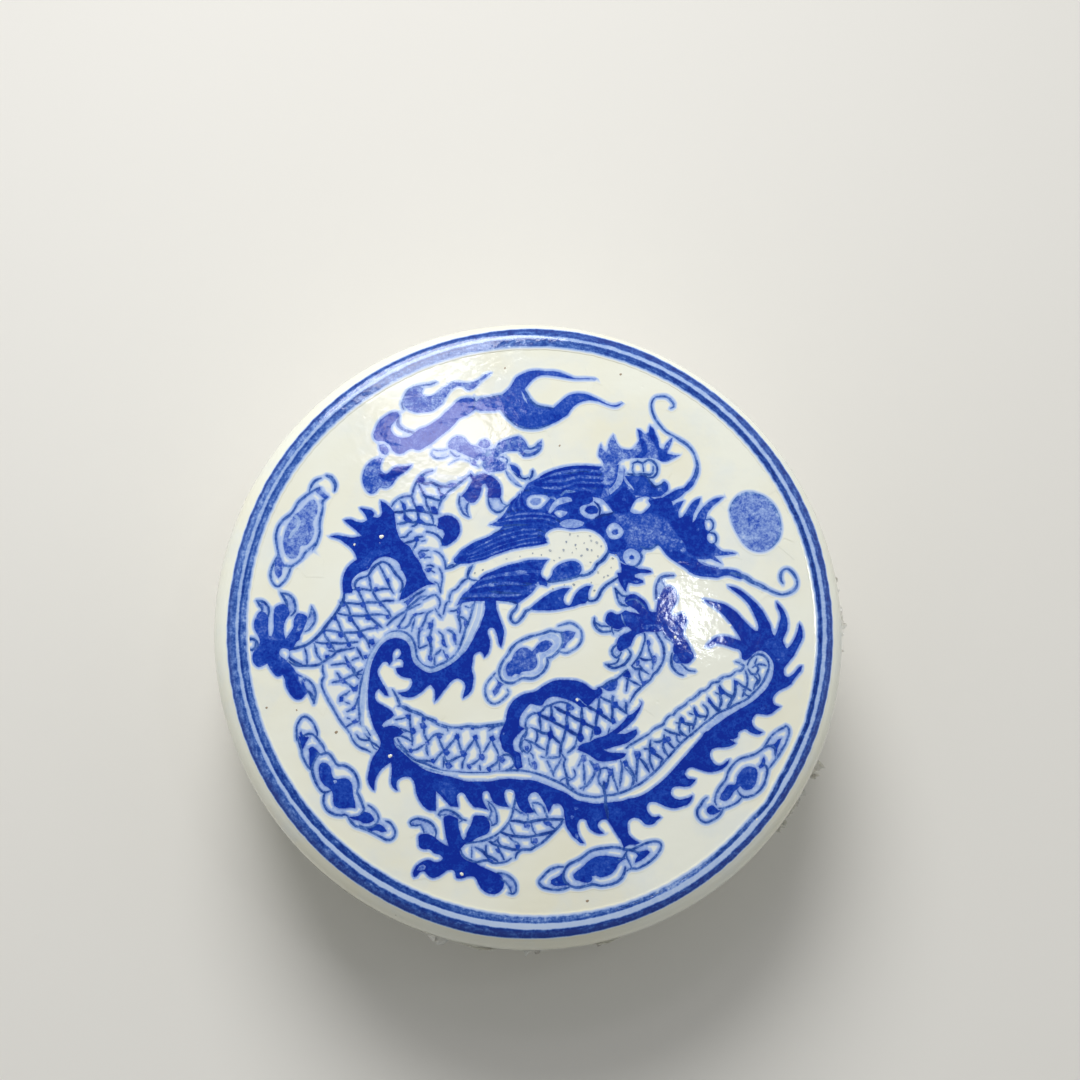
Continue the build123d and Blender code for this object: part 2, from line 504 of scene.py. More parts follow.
# Each mark is its ink in hundredths, its brush's width in hundredths of a millimetre, or 0 for a
# filled shape, and its points in tenths of a millimetre, each as the step right and up from the
# one before. Later marks cover earlier ones.
picture = {
    "cloud_1": (
     (5,0, -265,184, -18,-12, -15,-16, -12,-12, -10,-22, 3,-22, 4,-14, 10,-4, 19,8, 12,12, 6,18, 3,18, 3,20,
     7,12, 3,12),
     (44,0, -272,168, -6,-2, -6,-7, -6,-6, -6,-4, -5,-7, -5,-8, -3,-9, -2,-10, 1,-9, 3,-8, 6,-5, 6,1, 4,7,
     2,8, 8,2, 6,7, 3,10, -2,10, 3,7, 3,7, 0,10),
     (10,44, -297,147, 5,-3, 1,-6, -3,-7, -5,-5, -4,-6),
     (55,0, -266,184, 4,-5, 5,-5, 4,-3, -6,-2, -5,4, -6,5),
     (64,30, -263,195, -7,-3, -5,-6, -3,-8),
     (62,42, -257,198, 6,-2, 4,-5, 2,-5, -1,-7),
     (64,30, -265,183, -8,-4, -10,-7, -9,-8, -6,-10, -5,-6, -7,-5, -7,-9, -3,-12, 1,-12, 2,-10, 2,-7, 2,-7),
     (64,30, -256,170, -5,-4, 0,-8, -2,-10, -2,-10, 0,-13, -4,-12, -5,-9),
    ),
    "clouds": (
     (52,30, 36,8, 6,2, 8,2, 7,-2, 6,-5, 3,-6, 0,-7, -3,-7, -5,-5, -7,-4, -6,-2, -7,2),
     (60,0, 40,0, 6,2, 6,0, 6,-2, -2,-5, -4,-4, -5,-5, -3,-6, -4,0, 2,8, 0,6),
     (60,32, 42,0, -9,1, -7,1, -8,-3, -8,-2, -8,-2, -8,-3, -8,-4, -5,-4, -5,-6, -3,-6, -5,-6, -4,-7, -2,-7,
     0,-6, 3,-6, 5,-3, 6,-1, 7,2, 7,4, 7,0, 7,0, 7,3, 6,5, 4,6, 2,6, -1,6, 6,1, 6,5, 5,6, 3,6, 0,7, -2,6),
     (15,0, 25,-2, 8,-1, 5,-5, -1,-8, -5,-7, -6,-4, -6,-3, -3,-5, 1,-7, -4,-7, -7,-4, -8,-1, -8,0, -7,-4,
     -9,-2, -7,3, -2,6, 1,7, 4,6, 3,3, 1,-7, -2,-10, 7,-4, 8,4, 15,2, 8,5, 2,9, -1,8, 10,4, 9,8, -2,7, -9,1,
     -8,-3, -2,4, 8,3),
     (62,0, -30,-46, 2,6, 5,5, 3,7, 5,6, 6,3, 7,-1, 5,-4, 4,4, 5,6, 7,4, 7,-1, 3,-4, -4,-5, -6,-4, -7,-1,
     -4,-3, 1,-5, 1,-6, -3,-6, -5,-3, -7,-1, -5,-1, -3,-3, -5,1, -4,-3, -5,0, -2,4),
     (52,30, -43,-51, -6,-7, -5,-7, -2,-7, 1,-8, 3,-6, 6,-4, 6,1, 6,4, 5,5, 3,5, -2,3),
     (58,0, -44,-56, 6,-6, 6,-3, -5,-5, -2,-5, -5,-5, -3,6, 4,5, 3,6),
     (55,30, -317,99, -4,-8, -4,-9, -2,-8, 1,-7, 3,-6, 5,-3, 6,4, 5,6, 3,6, 2,6, 2,5),
     (55,30, -313,86, 7,-2, 6,0, 6,4, 6,5, 3,5, 3,4, 6,5, 5,6),
     (50,0, -317,96, -4,-7, -1,-9, 2,-8, 3,-4, 4,5, 1,7, 3,5),
    ),
    "cloud_2": (
     (5,0, -294,-132, 1,12, 3,10, 7,4, 8,-5, 5,-9, 2,-12, -10,-4, -8,-4),
     (5,0, -293,-130, 3,-11, 3,-11, 4,-11, 8,-11, 3,-10, 5,-11, 7,-6, 0,-11, 4,-11, 10,-7, 13,-1, 9,-9,
     14,-8, 17,-8, 15,-6, 8,4, 0,11, -9,8, -12,4, -4,10, -8,6, -6,-3, -3,8, -5,12, 1,13, -6,13, -9,7, -10,1,
     -11,14, -7,6, -5,10, -8,8, -10,3),
     (90,0, -292,-130, 4,-2, 5,0, 3,-4, -3,-4, -2,-5, -2,-3, -2,8),
     (90,0, -279,-147, 5,3, 5,-4, 4,-4, -4,-4, -3,-5, -2,-7, -2,-4, -2,5, 0,8, 0,7),
     (84,0, -265,-167, 4,3, 6,-2, 4,-5, 1,-7, 3,-6, 5,-1, 8,1, 6,-2, 4,-6, 1,-8, 1,-8, 2,-7, 0,-7, -7,1,
     -6,-1, -7,0, -6,3, -2,7, 0,6, -2,6, -4,4, -6,4, -4,7, -2,9),
     (60,0, -264,-172, 2,2, 1,-7, -1,-7, -2,4),
     (93,0, -210,-222, 2,-4, 6,-2, 4,-4, 2,-5, -5,-3, -8,-1, -5,3, -8,2, -7,3, 10,1, 7,3),
     (93,0, -207,-248, 8,2, 6,4, 6,-1, 5,-5, 2,-3, -6,-1, -8,2, -7,-1),
     (5,0, -248,-187, 4,1, 1,-3, -3,-2),
     (88,0, -290,-126, 2,1, 2,-4, 4,-3, 4,0, -3,-4, -3,-3, -3,1, -2,4),
     (72,28, -294,-136, 0,9, 0,7, 2,6, 3,5, 5,3, 5,-2, 4,-4, 3,-4, 2,-5, 2,-5, 0,-4),
     (68,30, -294,-130, 3,-9, 3,-9, 1,-7, 3,-7, 4,-7, 4,-4, 3,-1),
     (68,30, -286,-131, 6,3, 7,-1, 5,-5, 4,-5, 4,-6, 2,-6),
     (70,32, -269,-152, 6,-2, 6,2, 5,-2, 4,-6, 4,-6, 3,-2, 7,0, 6,-3, 6,-5, 4,-7, 2,-7, 0,-6, -2,-5, 3,-6,
     3,-7, 2,-6, 1,-5, -4,-4),
     (70,32, -266,-154, -5,-7, -3,-8, 0,-8, 3,-9, 3,-7, 5,-7, 5,-2, 7,2),
     (68,32, -258,-202, -2,-6, 0,-7, 3,-7, 5,-5, 7,-3, 8,-1, 4,1, 4,-2),
     (66,30, -230,-232, 4,-6, 6,-6, 8,-3, 8,-3, 8,-4, 8,-4, 8,-4, 6,1, 4,5, 0,6, -3,6, -5,5, -4,1),
     (62,30, -204,-218, 5,-3, 5,-5, 3,-6, 0,-5, -4,-6, -7,-3, -7,0, -6,3),
    ),
    "cloud_3": (
     (5,0, 13,-315, 7,10, 12,8, 12,0, 10,6, 12,7, 10,7, 16,5, 18,0, 16,-2, 14,6, 14,4, 11,-2, 0,-9, -9,-12,
     -14,-9, -15,-3, -9,-9, -12,-9, -16,-3, -16,0, -14,-2, -16,-2, -18,-1, -11,4),
     (93,0, 42,-303, -4,-4, -6,-3, -5,-3, 0,-4, 6,-3, 7,0, 7,1, 4,1, -5,5, -2,5),
     (50,0, 32,-315, 2,1, 2,-1, -2,-2),
     (86,0, 55,-307, 4,5, 6,4, 4,4, 5,5, 6,4, 8,3, 10,0, 8,-1, 7,-1, 9,-1, -6,-4, -5,-5, -3,-6, -5,-5,
     -7,-3, -7,-1, -6,2, -4,-1, 0,-5, -6,-3, -9,2, -6,2),
     (93,0, 134,-278, 8,2, 7,1, 3,-2, -4,-5, -5,-4, -5,-3, -5,-2, 1,5, 3,4),
     (70,32, 43,-296, -7,0, -7,-2, -6,-4, -6,-6, -5,-6, 2,-5, 4,-3, 7,-2, 9,-1, 9,1, 8,3),
     (70,34, 51,-320, -5,4, -3,6, 0,6, 3,7, 5,5, 5,2, 6,3, 6,4, 6,5, 6,3, 8,2, 9,1, 9,1, 8,-1, 8,-2, 8,0),
     (70,34, 48,-318, 6,-3, 7,-1, 7,1, 7,2, 7,1, 8,-2, 8,1, 8,2, 6,3, 5,5, 3,7, 1,6),
     (66,30, 120,-275, 7,0, 7,3, 6,3, 7,3, 8,2, 7,0, 4,-3, 0,-5, -3,-6, -5,-6, -7,-6, -8,-5, -8,-3, -7,0,
     -5,-3),
     (70,36, 112,-287, 6,2, 3,5, 2,4),
     (60,26, 122,-277, 1,-7, 3,-6, 3,-7),
     (74,30, 126,-275, 6,-1, 7,-2),
    ),
    "cloud_5": (
     (5,0, 305,-126, -3,-11, -6,-8, -11,-9, -15,-4, -13,-9, -7,-13, -8,-13, -8,-14, -10,-2, -9,-10, -3,-10,
     5,-9, 9,-1, 11,5, 7,10, 14,7, 10,9, 11,1, 12,9, 7,12, 3,13, 8,10, 9,13, 7,12, 2,12, -3,6, -10,-3),
     (74,0, 266,-176, 5,5, 6,2, 6,-1, 4,-3, 1,-6, -1,-7, -2,-6, -4,-5, -6,-2, -5,1, -4,4, -4,-4, -4,-3,
     -3,-5, -4,-5, -6,-2, -5,3, 2,6, 4,5, 3,5, 5,2, 5,0, 2,4, 1,6),
     (82,0, 225,-221, 5,3, 4,-2, 4,-4, 4,-1, -5,-3, -5,-2, -4,0, -4,4),
     (88,0, 299,-144, 6,2, 5,2, 4,5, 4,1, -2,-6, -3,-7, -1,-6, -2,1, -1,4, -4,3),
     (80,0, 296,-157, 2,-5, -2,-7, -5,-3, -2,3, 4,5, 1,4),
     (66,28, 311,-159, -1,6, 0,6, -2,3, -6,1, -6,-3, -7,-5, -5,-3, -6,-2, -7,-2, -6,-2, -6,-5, -5,-6, -4,-7,
     -2,-7, -5,-7, -5,-7, -3,-7, -1,-7, 2,-5),
     (66,28, 296,-144, 4,5, 3,5, 4,5, 5,4, 5,3, 4,2, 3,2, 3,-3, 1,-6, -2,-6, -2,-6, -4,-7, -4,-7, -5,-7,
     -5,-7, -5,-6),
     (70,30, 295,-165, 5,-6, 0,-7, -2,-7, -2,-7, -5,-7, -6,-5, -7,-3, -7,-1, -5,3, -3,5),
     (66,28, 268,-208, -4,-5, -6,-4, -7,-3, -7,-2, -5,0),
     (66,30, 245,-222, -4,-7, -5,-5, -7,-4, -7,-2, -6,3, -4,6, 0,7, 4,6, 3,5, 5,5),
    ),
    "ribbon": (
     (74,0, -106,278, 8,7, 8,8, 8,3, 8,0, 4,-2, 4,-2, 6,4, 10,0, 10,2, 5,2, 6,5, 5,5, 4,7, 3,5, 7,4, 10,4,
     10,1, 10,-1, 10,0, 10,-2, 10,-4, 8,-3, 12,0, 14,-1, -14,0, -14,0, -13,2, -13,2, -10,1, -8,-1, -7,-4,
     -5,-5, -4,-5, -2,-4, 5,-8, 4,-7, 7,-5, 10,-3, 9,0, 5,4, 6,5, 7,6, 7,3, 8,1, 10,-1, 10,-4, 10,-5, 8,-4,
     8,-1, 10,3, -8,-5, -8,1, -8,3, -9,3, -10,1, -10,-2, -7,-4, -6,-6, -4,-6, -6,-4, -8,-5, -9,-4, -10,-3,
     -10,-1, -10,0, -7,2, -8,5, -7,6, -6,6, -4,4, -7,-1, -9,0, -9,0, -6,2, -3,-2, -7,-5, -7,-3, -5,-3,
     -5,-6, -7,-7, -8,-6, -10,-8, -10,-7, -10,-5, -8,2, -6,-2, -6,-4, -7,0, -5,3, -5,8, -8,5, -8,0, -4,6,
     2,8, 5,10, 8,7, 9,5, 6,0, 3,-4, -5,-6, -5,-6, -1,-7, 6,-7, 9,-2, 8,1, 7,5, 6,5, 9,3, 10,6, 7,5),
     (5,0, -10,305, 2,-9, 6,-8, -3,8),
     (75,30, -6,306, 4,-8, 5,-7, 7,-5, 10,-2, 10,-1),
     (80,30, -70,296, 1,-7, -3,-7),
     (70,25, -34,300, -8,-2, -10,-2, -10,-1, -6,-5),
     (70,25, -36,281, 9,-10, 11,-9, 12,-4, 14,0, 16,5),
     (84,0, -172,274, -8,-5, -5,-9, -3,-10, 4,-6, 5,2, 1,8, 1,8, 6,7),
     (72,0, -172,246, 8,-3, 5,-4, 3,-7, -7,-4, -7,4),
     (62,40, -165,272, -1,-9, 6,-6, 7,-3, 8,-2),
     (60,0, -190,236, 6,2, 5,-5, 1,-5, -4,-4, -6,4),
     (55,0, -185,220, -8,0, -9,-5, -6,-8, -3,-10, 1,-10, 4,-8, 6,-4, 6,2, 5,6, 8,-1, 7,4, 5,7, 6,6, 7,4,
     8,9, -9,-2, -9,0, -6,-2, -4,-4, -4,-3, -5,1, -3,4, 0,6, 2,5),
     (95,0, -190,201, 7,-2, 6,3, 7,6, 8,1, 12,1, -9,-8, -9,-4, -4,-6, -8,0, -8,4),
     (30,0, -190,194, 6,-4, 10,0, -2,-5, -8,-2, -5,3),
     (50,0, -142,311, -8,-4, -7,-9, -3,-8, 6,-8, 10,-4, 12,0, 10,2, 7,5, 6,5, 4,8, 5,7, 7,5, 8,1, 7,-5, 7,2,
     6,5, 6,6, 7,5, 4,4, -8,-2, -7,-6, -9,-4, -8,-1, -8,1, -7,0, -8,-3, -7,-5, -6,-5, -7,-4, -9,0, -4,4,
     2,5),
     (60,25, -118,316, -8,-3, -10,-1, -10,-2, -7,-5, -5,-8, -3,-9, 2,-6),
     (65,0, -144,308, -8,-5, -4,-8, 6,0, 5,-5, 4,4, -2,7),
    ),
    "far_claw": (
     (52,0, -102,233, -1,5, 4,6, 7,4, 8,-1, 5,-5, 5,-5, 8,-2, 6,-3, 8,-1, 7,2, 7,7, 12,5, 12,3, 6,-4, 4,-5,
     2,-5, 4,-2, 6,3, 4,5, 3,3, 1,-6, -2,-7, -6,-5, -8,-3, -8,0, -4,6, -8,1, -10,-1, -9,-4, 6,-4, 5,-3,
     -1,-5, 0,-5, -6,-3, -10,-1, -8,-1, -4,5, -5,7, -7,5, -11,5, -10,4, -7,3),
     (56,0, -65,237, 3,5, 6,2, 5,-3, 1,-5, -4,-3, -7,1),
     # The next mark is a painted highlight: its low ink lightens the claw's middle to stand for the glaze's
     # sheen there, not for thinner cobalt
     (30,0, -64,231, 8,0, 7,-1, 2,-6, -5,-3, -7,4),
     (68,0, -89,236, 9,-2, 10,-5, 8,-6, -7,0, -11,4, -8,4),
     (62,0, -40,232, 10,5, 10,3, 9,1, -2,-5, -9,-3, -10,-3),
     (64,0, -50,219, 8,0, 8,-4, 2,-6, -8,-3, -8,3, -4,5),
     (5,0, -8,228, 6,-2, 7,2, 6,4, -5,0, -5,-2, -6,1),
     (66,24, -11,226, 8,-2, 9,1, 6,5, 3,6),
     (66,22, -3,234, 4,-2, 6,2, 4,5),
     (5,0, -99,230, 5,1, 4,-3, 2,-4, -5,-1, -5,3),
     (55,24, -100,229, 3,-4, 5,-3, 4,1),
     (5,0, -102,231, -9,-2, -9,0, -1,-5, 7,-2, 9,2),
     (42,24, -101,232, -8,-2, -9,0, -4,1),
     (36,30, -122,231, -2,-5, 5,-5, 9,-1, 8,3),
     (5,0, -63,220, 5,-4, -2,-5, -5,-2, -3,6),
     (55,22, -75,218, 5,-5, 5,-4),
     (45,0, -75,217, 5,2, 3,-4, -1,-5, -5,2),
     (30,24, -76,216, -10,3, -8,-2, -8,-5),
     (66,24, -43,222, 8,0, 7,-4, 0,-4),
     (5,0, -39,220, 7,0, 3,-3, -2,-3, -5,2),
     (22,0, -29,205, 5,-4, 6,-7, 6,-6, 3,-4, -6,1, -8,6, -6,7),
     (45,22, -30,204, 3,-7, 6,-7, 6,-4, 5,-2),
     (86,0, -25,212, 6,-1, 4,-3, 3,-5, 0,-5, -2,-1, -3,4, -5,4),
     (62,22, -20,202, 4,-4, 4,-3),
     (82,26, -12,199, 2,-4, 4,-1, 5,2),
     (84,34, 0,194, 3,4, 1,6),
    ),
    "bottom_leg": (
     (5,0, -19,-206, -3,-24, -5,-12, -11,-11, -16,-9, -20,-5, -11,-5, 0,-9, 11,-7, 14,-1, 14,-1, 19,3, 7,4,
     8,7, 13,2, 15,8, 13,11, 10,10, 4,11, -1,12, -7,6, -9,-6, -9,10, -9,9, -10,-3),
     (66,30, -17,-204, -1,-8, -2,-9, -2,-9, -3,-8, -5,-7, -6,-6, -8,-6, -9,-4, -10,-3, -10,-1, -8,-2),
     (70,34, 42,-235, -2,-6, -4,-5, -5,-5, -5,-5, -5,-5, -6,-5, -7,-4, -7,-4, -7,0, -5,-1, -5,-4, -2,-6),
     (66,30, -87,-274, 2,-6, 5,-5, 7,-3, 7,-2, 8,2, 6,0, 6,-3, 7,0, 7,1, 5,2, 4,3),
     (62,30, -22,-222, 6,-2, 5,-4, 6,0),
     (78,36, -24,-238, 8,0, 9,-2, 8,1, 9,2, 10,1, 10,0, 13,0),
     (78,36, -37,-252, 8,-3, 9,-2, 10,-1, 10,0, 10,2, 10,2, 9,3, 4,2),
     (76,34, -51,-264, 7,-4, 8,-2, 8,-2, 7,-2, 6,0, 5,0),
     (62,30, 2,-216, 6,1, 6,-2, 4,-4, 2,-6, 2,-5, 2,-5),
     (60,26, 4,-217, 1,-6, 3,-5, 3,-3),
     (60,30, -2,-229, 0,-5, 0,-6, 1,-6),
     (60,28, -25,-241, 2,-7, 4,-7),
     (60,28, 2,-241, 2,-7, 4,-7),
     (60,28, 17,-238, 6,-3, 6,-5, 4,-3),
     (62,28, -39,-258, -1,-6, 4,-5),
     (60,28, -27,-256, 5,-6, 6,-3, 4,-5),
     (62,28, 2,-259, 1,-6, 5,-4),
     (62,26, -50,-263, 4,-2, 6,4),
     (70,30, -41,-269, 3,-6, 3,-6, 3,-6),
     (74,34, -69,-271, 6,-3, 5,-3, 4,-5, 6,-2, 8,-5),
     (70,32, -55,-269, 0,-6, 1,-6, 2,-6),
     (60,24, -73,-271, 0,-7, 0,-6),
     (60,0, -7,-241, 6,1, 2,-4, -2,-4, -6,2),
     (62,0, 4,-260, 5,1, 2,-4, -2,-4, -5,1),
     (62,0, -11,-226, 7,-1, 2,-4, -6,0),
     (62,0, 17,-240, 8,2, 4,-5, -7,-1),
     (62,0, -44,-273, 5,0, 3,-6, -5,1),
     (70,0, -54,-284, 5,-2, 5,-3, -6,0),
     (70,0, -18,-268, 5,0, 2,-6, -6,1),
    ),
    "neck": (
     (5,0, -173,159, 8,10, 15,4, 4,11, 8,13, 12,6, 22,-4, 24,-1, -13,-14, -14,-15, -7,-19, -4,-10, 2,-12,
     4,-14, 6,-18, 0,-16, -4,-16, -2,-18, 10,-6, 4,12, 12,11, 10,3, -4,-18, 8,-16, -4,-18, -8,-20, -8,-20,
     -16,-13, -18,-4, -14,9, -6,18, -12,17, -18,-1, -16,-14, -10,-16, -12,-38, 0,-38, 12,-24, -24,1, -18,26,
     -18,35, 1,29, -23,-2, -20,7, 4,13, 18,5, 18,15, 14,19, 14,22, 2,10, 16,22, 16,4, 16,17, 20,-7, 9,-22,
     -7,-23, 14,7, 18,10, 10,4, -12,18, -10,16, -6,12, -14,10, -5,20, -2,14),
     (70,30, -174,159, 3,5, 6,5, 8,3, 8,1, 2,6, 2,6, 3,6, 5,6, 7,5, 8,2),
     (82,36, -171,152, 9,0, 9,2, 9,0, 9,-1, 10,-2, 9,-1),
     (76,34, -163,166, 5,-6, 0,-7, 2,-7, 7,-5),
     (78,34, -149,172, 3,-8, 3,-7, 2,-7, 1,-7, -4,-7, -4,-2),
     (74,30, -131,170, 1,-8, 3,-6, 2,-6, 3,-7, 1,-7),
     (78,34, -134,173, 6,-2, 7,-2, 7,-2, 5,2),
     (74,30, -140,188, 3,-7, 4,-7, 3,-5),
     (74,30, -140,190, 8,-2, 9,1, 9,-4, 10,-1, 8,1),
     (74,30, -115,182, 3,-7, 4,-5),
     (78,34, -167,137, 7,1, 7,2, 6,-1, 7,1, 8,-3, 8,-1, 6,-1),
     (80,0, -142,190, 2,7, 6,1, 2,-6, -4,-3),
     (88,0, -159,149, 6,-5, 5,-4, -7,0, -4,3),
     (86,0, -141,147, 4,-4, 5,-4, -6,-2, -5,2),
     (90,0, -144,157, 3,3, 6,-1, 3,-4, -4,-3, -6,1),
     (86,0, -125,159, 5,0, 4,-4, 0,-5, -7,1),
     (80,0, -162,164, 5,-2, 2,-6, -4,-2, -2,5),
     (80,0, -113,173, 3,3, 5,-4, -4,-4, -4,1),
     (70,0, -103,187, 6,2, 5,-1, -3,-4, -6,-1),
     (78,32, -149,128, -4,-3, -3,-4, -7,-1),
     (76,32, -135,121, -7,-1, -4,-4, -7,-2, -8,-2),
     (72,28, -142,119, -1,-7, -4,-7, -3,-5),
     (60,26, -132,116, -5,-1),
     (80,30, -130,127, 7,-1, 6,-3, 6,-6, 1,-7),
     (74,0, -146,120, 5,1, 2,-5, -5,-2),
     (78,30, -140,99, 3,4, 5,0, 5,1),
     (66,0, -140,96, 1,5, 5,1, 3,-4, -3,-4, -4,-1),
     (70,26, -133,94, 4,1, 4,0),
     (64,28, -121,103, 6,-2, 5,-5, 3,-6, 1,-6, 0,-4),
     (72,28, -106,80, 7,2, 6,3, 6,3),
     (72,28, -130,84, 5,1, 4,-2),
     (60,0, -133,80, 5,2, 5,-1, -2,-4, -5,-1),
     (60,24, -124,78, 4,-2),
     (64,26, -114,81, 3,-6, 1,-7, -1,-6, -1,-6, 0,-6),
     (62,26, -120,64, 4,-2, 2,-5, 1,-5),
     (62,26, -134,41, 5,3, 6,3, 5,0, 4,-5, 1,-6, -2,-6),
     (66,28, -101,39, 0,7, 3,6, 6,3, 3,4, 3,4, 5,4, 3,1),
     (72,32, -78,68, 0,5, 3,6, 3,5),
     (62,28, -101,40, -4,-3, -2,-7, -2,-7),
     (58,28, -100,27, 7,1, 4,4, 4,7, 6,3),
     (62,30, -89,32, 1,-6, -2,-5, 2,-7, 1,-8, -1,-6),
     (64,30, -91,21, 6,-2, 5,-4, 3,-5),
     (60,0, -83,15, 5,-1, 0,-6, -4,-1, -1,4),
     (60,26, -81,33, 6,-2, 3,4),
     (50,0, -92,26, 3,7, 3,-1, -2,-8, -3,-4),
     (68,32, -180,9, 8,8, 7,5, 7,4, 6,4, 7,3, 7,3),
     (66,30, -166,7, 4,6, 4,6, 3,7),
     (72,34, -158,38, 8,4, 6,5, 7,4, 5,3),
     (66,30, -155,31, 7,5, 6,5, 5,4, 7,1),
     (62,28, -164,5, 7,1, 5,4, 3,7, 6,5, 9,3),
     (62,30, -149,1, 2,8, 2,8),
     (62,30, -138,4, 4,7, 3,7, 2,6, 7,4),
     (60,32, -129,5, 4,5, 3,5),
     (60,28, -119,30, 4,-6, 4,-6),
     (80,0, -148,22, 4,3, 3,-1, -3,-3),
     (64,0, -168,8, 3,2, 3,-3, -3,-4),
     (60,0, -141,5, 4,3, 3,-4, -4,-4),
     (56,0, -128,12, 5,3, 2,-5, -4,-4),
     (68,0, -157,39, 6,4, 6,1, -5,-6, -4,-5),
     (70,30, -224,54, 9,1, 10,-1, 10,-1, 10,2, 9,0),
     (70,30, -235,37, 10,0, 10,-1, 11,2, 11,0, 11,2, 10,0),
     (70,30, -242,24, 10,-2, 10,-1, 10,0, 10,1, 10,1, 10,-1),
     (70,30, -259,3, 10,-1, 10,-2, 10,0, 10,0, 10,3, 7,2, 9,1),
     (70,30, -270,-12, 10,-2, 11,1, 10,-1, 10,1, 12,1),
     (70,30, -253,-23, 9,-1, 8,2, 9,1, 6,2),
     (70,30, -250,-41, 8,1, 8,1),
     (70,30, -248,-63, 8,2, 8,3, 8,4, 8,4, 5,3),
     (70,30, -191,87, 4,-7, 4,-8, 4,-8, 3,-8, 4,-6),
     (70,30, -203,71, 2,-9, 2,-8, 4,-8, 5,-7, 7,-7, 5,-6, 3,-6),
     (70,30, -218,56, 4,-8, 4,-9, 3,-9, 4,-8, 6,-7, 6,-5, 5,-4),
     (70,30, -233,39, 4,-8, 3,-9, 3,-8, 6,-8, 4,-6, 4,-5, 5,-7, 2,-7),
     (70,30, -245,18, 4,-6, 3,-8, 4,-7, 4,-7, 3,-8),
     (70,30, -260,3, 2,-7, 4,-6, 5,-8, 4,-6),
     (70,30, -272,-14, 2,-6, 2,-8, 6,-8),
     (70,30, -284,-19, 2,-7, 1,-8, 0,-7),
     (70,30, -218,-19, 4,-7, 4,-8),
     (70,30, -233,-31, 4,-8, 4,-5, 4,-8, 5,-6),
     (70,30, -243,-51, 5,-7, 6,-5, 7,-5, 6,-6),
     (70,30, -249,-41, 7,1, 6,1, 5,-1),
     (70,30, -233,-30, 3,-6, 3,-6, 5,-4, 2,-4, 2,-3),
     (70,30, -224,-35, 4,2, 4,1),
     (70,30, -243,-51, 3,-5, 3,-4, 5,-3, 4,-3, 4,-5),
     (70,30, -249,-63, 6,1, 5,0),
     (70,30, -231,-57, 5,2, 6,2, 6,0, 3,0),
     (70,30, -227,-74, -5,-4, -5,-2, -1,-4),
     (70,30, -232,-88, 5,-2),
     (70,30, -215,-80, -3,-7, -3,-7, -5,-4, -5,-2),
     (70,30, -230,-108, 3,-1),
     (70,30, -231,-119, 5,3, 4,2, 6,2, 3,3),
     (76,30, -214,-115, 4,-5, 3,-7, 4,-6, 3,-5, 6,-4, 5,-4),
     (76,30, -218,-129, 3,-5, 6,-2, 8,0),
     (62,24, -200,-140, 4,-6, 4,-2),
     (62,0, -232,-36, 4,0, 4,-6, -2,-4, -4,3),
     (64,0, -240,-57, 6,-1, 3,-5, -5,-2, -4,3),
     (70,0, -226,-69, 6,1, 4,3, -1,-9, -6,-1),
     (84,0, -240,-81, 5,0, 0,-6, -5,-1),
     (62,0, -225,-112, 6,3, 3,-4, -5,-3),
     (70,0, -224,-94, 4,2, 1,-4, -5,-3),
     (85,0, -249,21, 5,1, 1,-5, -3,-2, -3,2),
     (72,0, -230,20, 6,1, 2,-6, -4,-2, -3,2),
     (74,0, -208,22, 6,1, 2,-6, -4,-2, -3,2),
     (68,0, -182,22, 4,1, 2,-5, -3,-1, -2,1),
     (76,0, -242,0, 6,1, 2,-6, -4,-2, -3,2),
     (74,0, -218,0, 6,1, 2,-6, -4,-3, -3,3),
     (66,0, -196,9, 4,1, 2,-5, -3,-1, -2,1),
     (76,0, -231,-13, 5,1, 1,-5, -3,-2, -3,2),
     (72,0, -257,-14, 6,1, 2,-6, -4,-2, -3,2),
     (70,0, -203,-9, 6,1, 2,-6, -4,-2, -3,2),
     (64,0, -210,-29, 4,1, 2,-4, -3,-2, -2,2),
     (74,0, -214,38, 6,1, 2,-6, -4,-2, -3,2),
     (76,0, -240,39, 6,1, 2,-6, -4,-2, -3,2),
     (80,0, -258,-29, 5,1, 1,-5, -3,-2, -3,2),
     (66,0, -191,38, 4,1, 2,-5, -3,-1, -2,1),
     (74,0, -197,57, 5,1, 1,-5, -3,-2, -3,2),
     (74,0, -219,57, 5,1, 1,-5, -3,-2, -3,2),
     (70,0, -182,68, 4,1, 2,-4, -3,-2, -2,2),
     (80,0, -263,4, 4,1, 2,-4, -3,-2, -2,2),
     (68,34, -139,3, -1,-7, 0,-8, 0,-7),
     (68,34, -139,-20, 5,2, 5,2),
     (68,34, -122,10, -2,-8, -2,-8, 1,-8, 1,-8, -1,-8, 1,-6),
     (68,34, -115,1, 4,-3, 2,-5, 1,-7, 3,-4),
     (68,34, -119,-28, 4,3, 3,3),
     (68,34, -120,-32, 0,-7, 1,-4),
     (68,34, -103,3, 5,-2, 3,-4, 1,-6, 1,-6),
     (68,34, -109,-23, 3,-6, 3,-6),
     (70,0, -130,-5, 6,1, 2,-5, -3,-5, -4,4),
     (66,0, -128,-29, 5,0, 1,-5, -3,-3, -3,3),
     (72,0, -128,12, 6,1, 0,-7, -5,-2),
     (68,0, -111,-9, 4,0, 2,-7, -3,-2, -3,4),
     (62,0, -97,-2, 4,0, 1,-8, -3,-3, -2,4),
     (64,0, -108,-26, 5,-2, 2,-4, -4,-2),
    ),
    "haunch": (
     (5,0, 16,-93, 4,7, 7,4, 9,1, 10,-3, 10,-4, 8,-6, 10,2, 8,8, 8,8, 6,7, 10,7, 10,6, 8,6, 8,-6, 10,-9,
     -8,-13, -7,-11, 5,-11, -12,-18, -16,-10, -24,-10, -17,-8, 21,-15, 32,3, 18,8, 16,4, 16,10, 20,10,
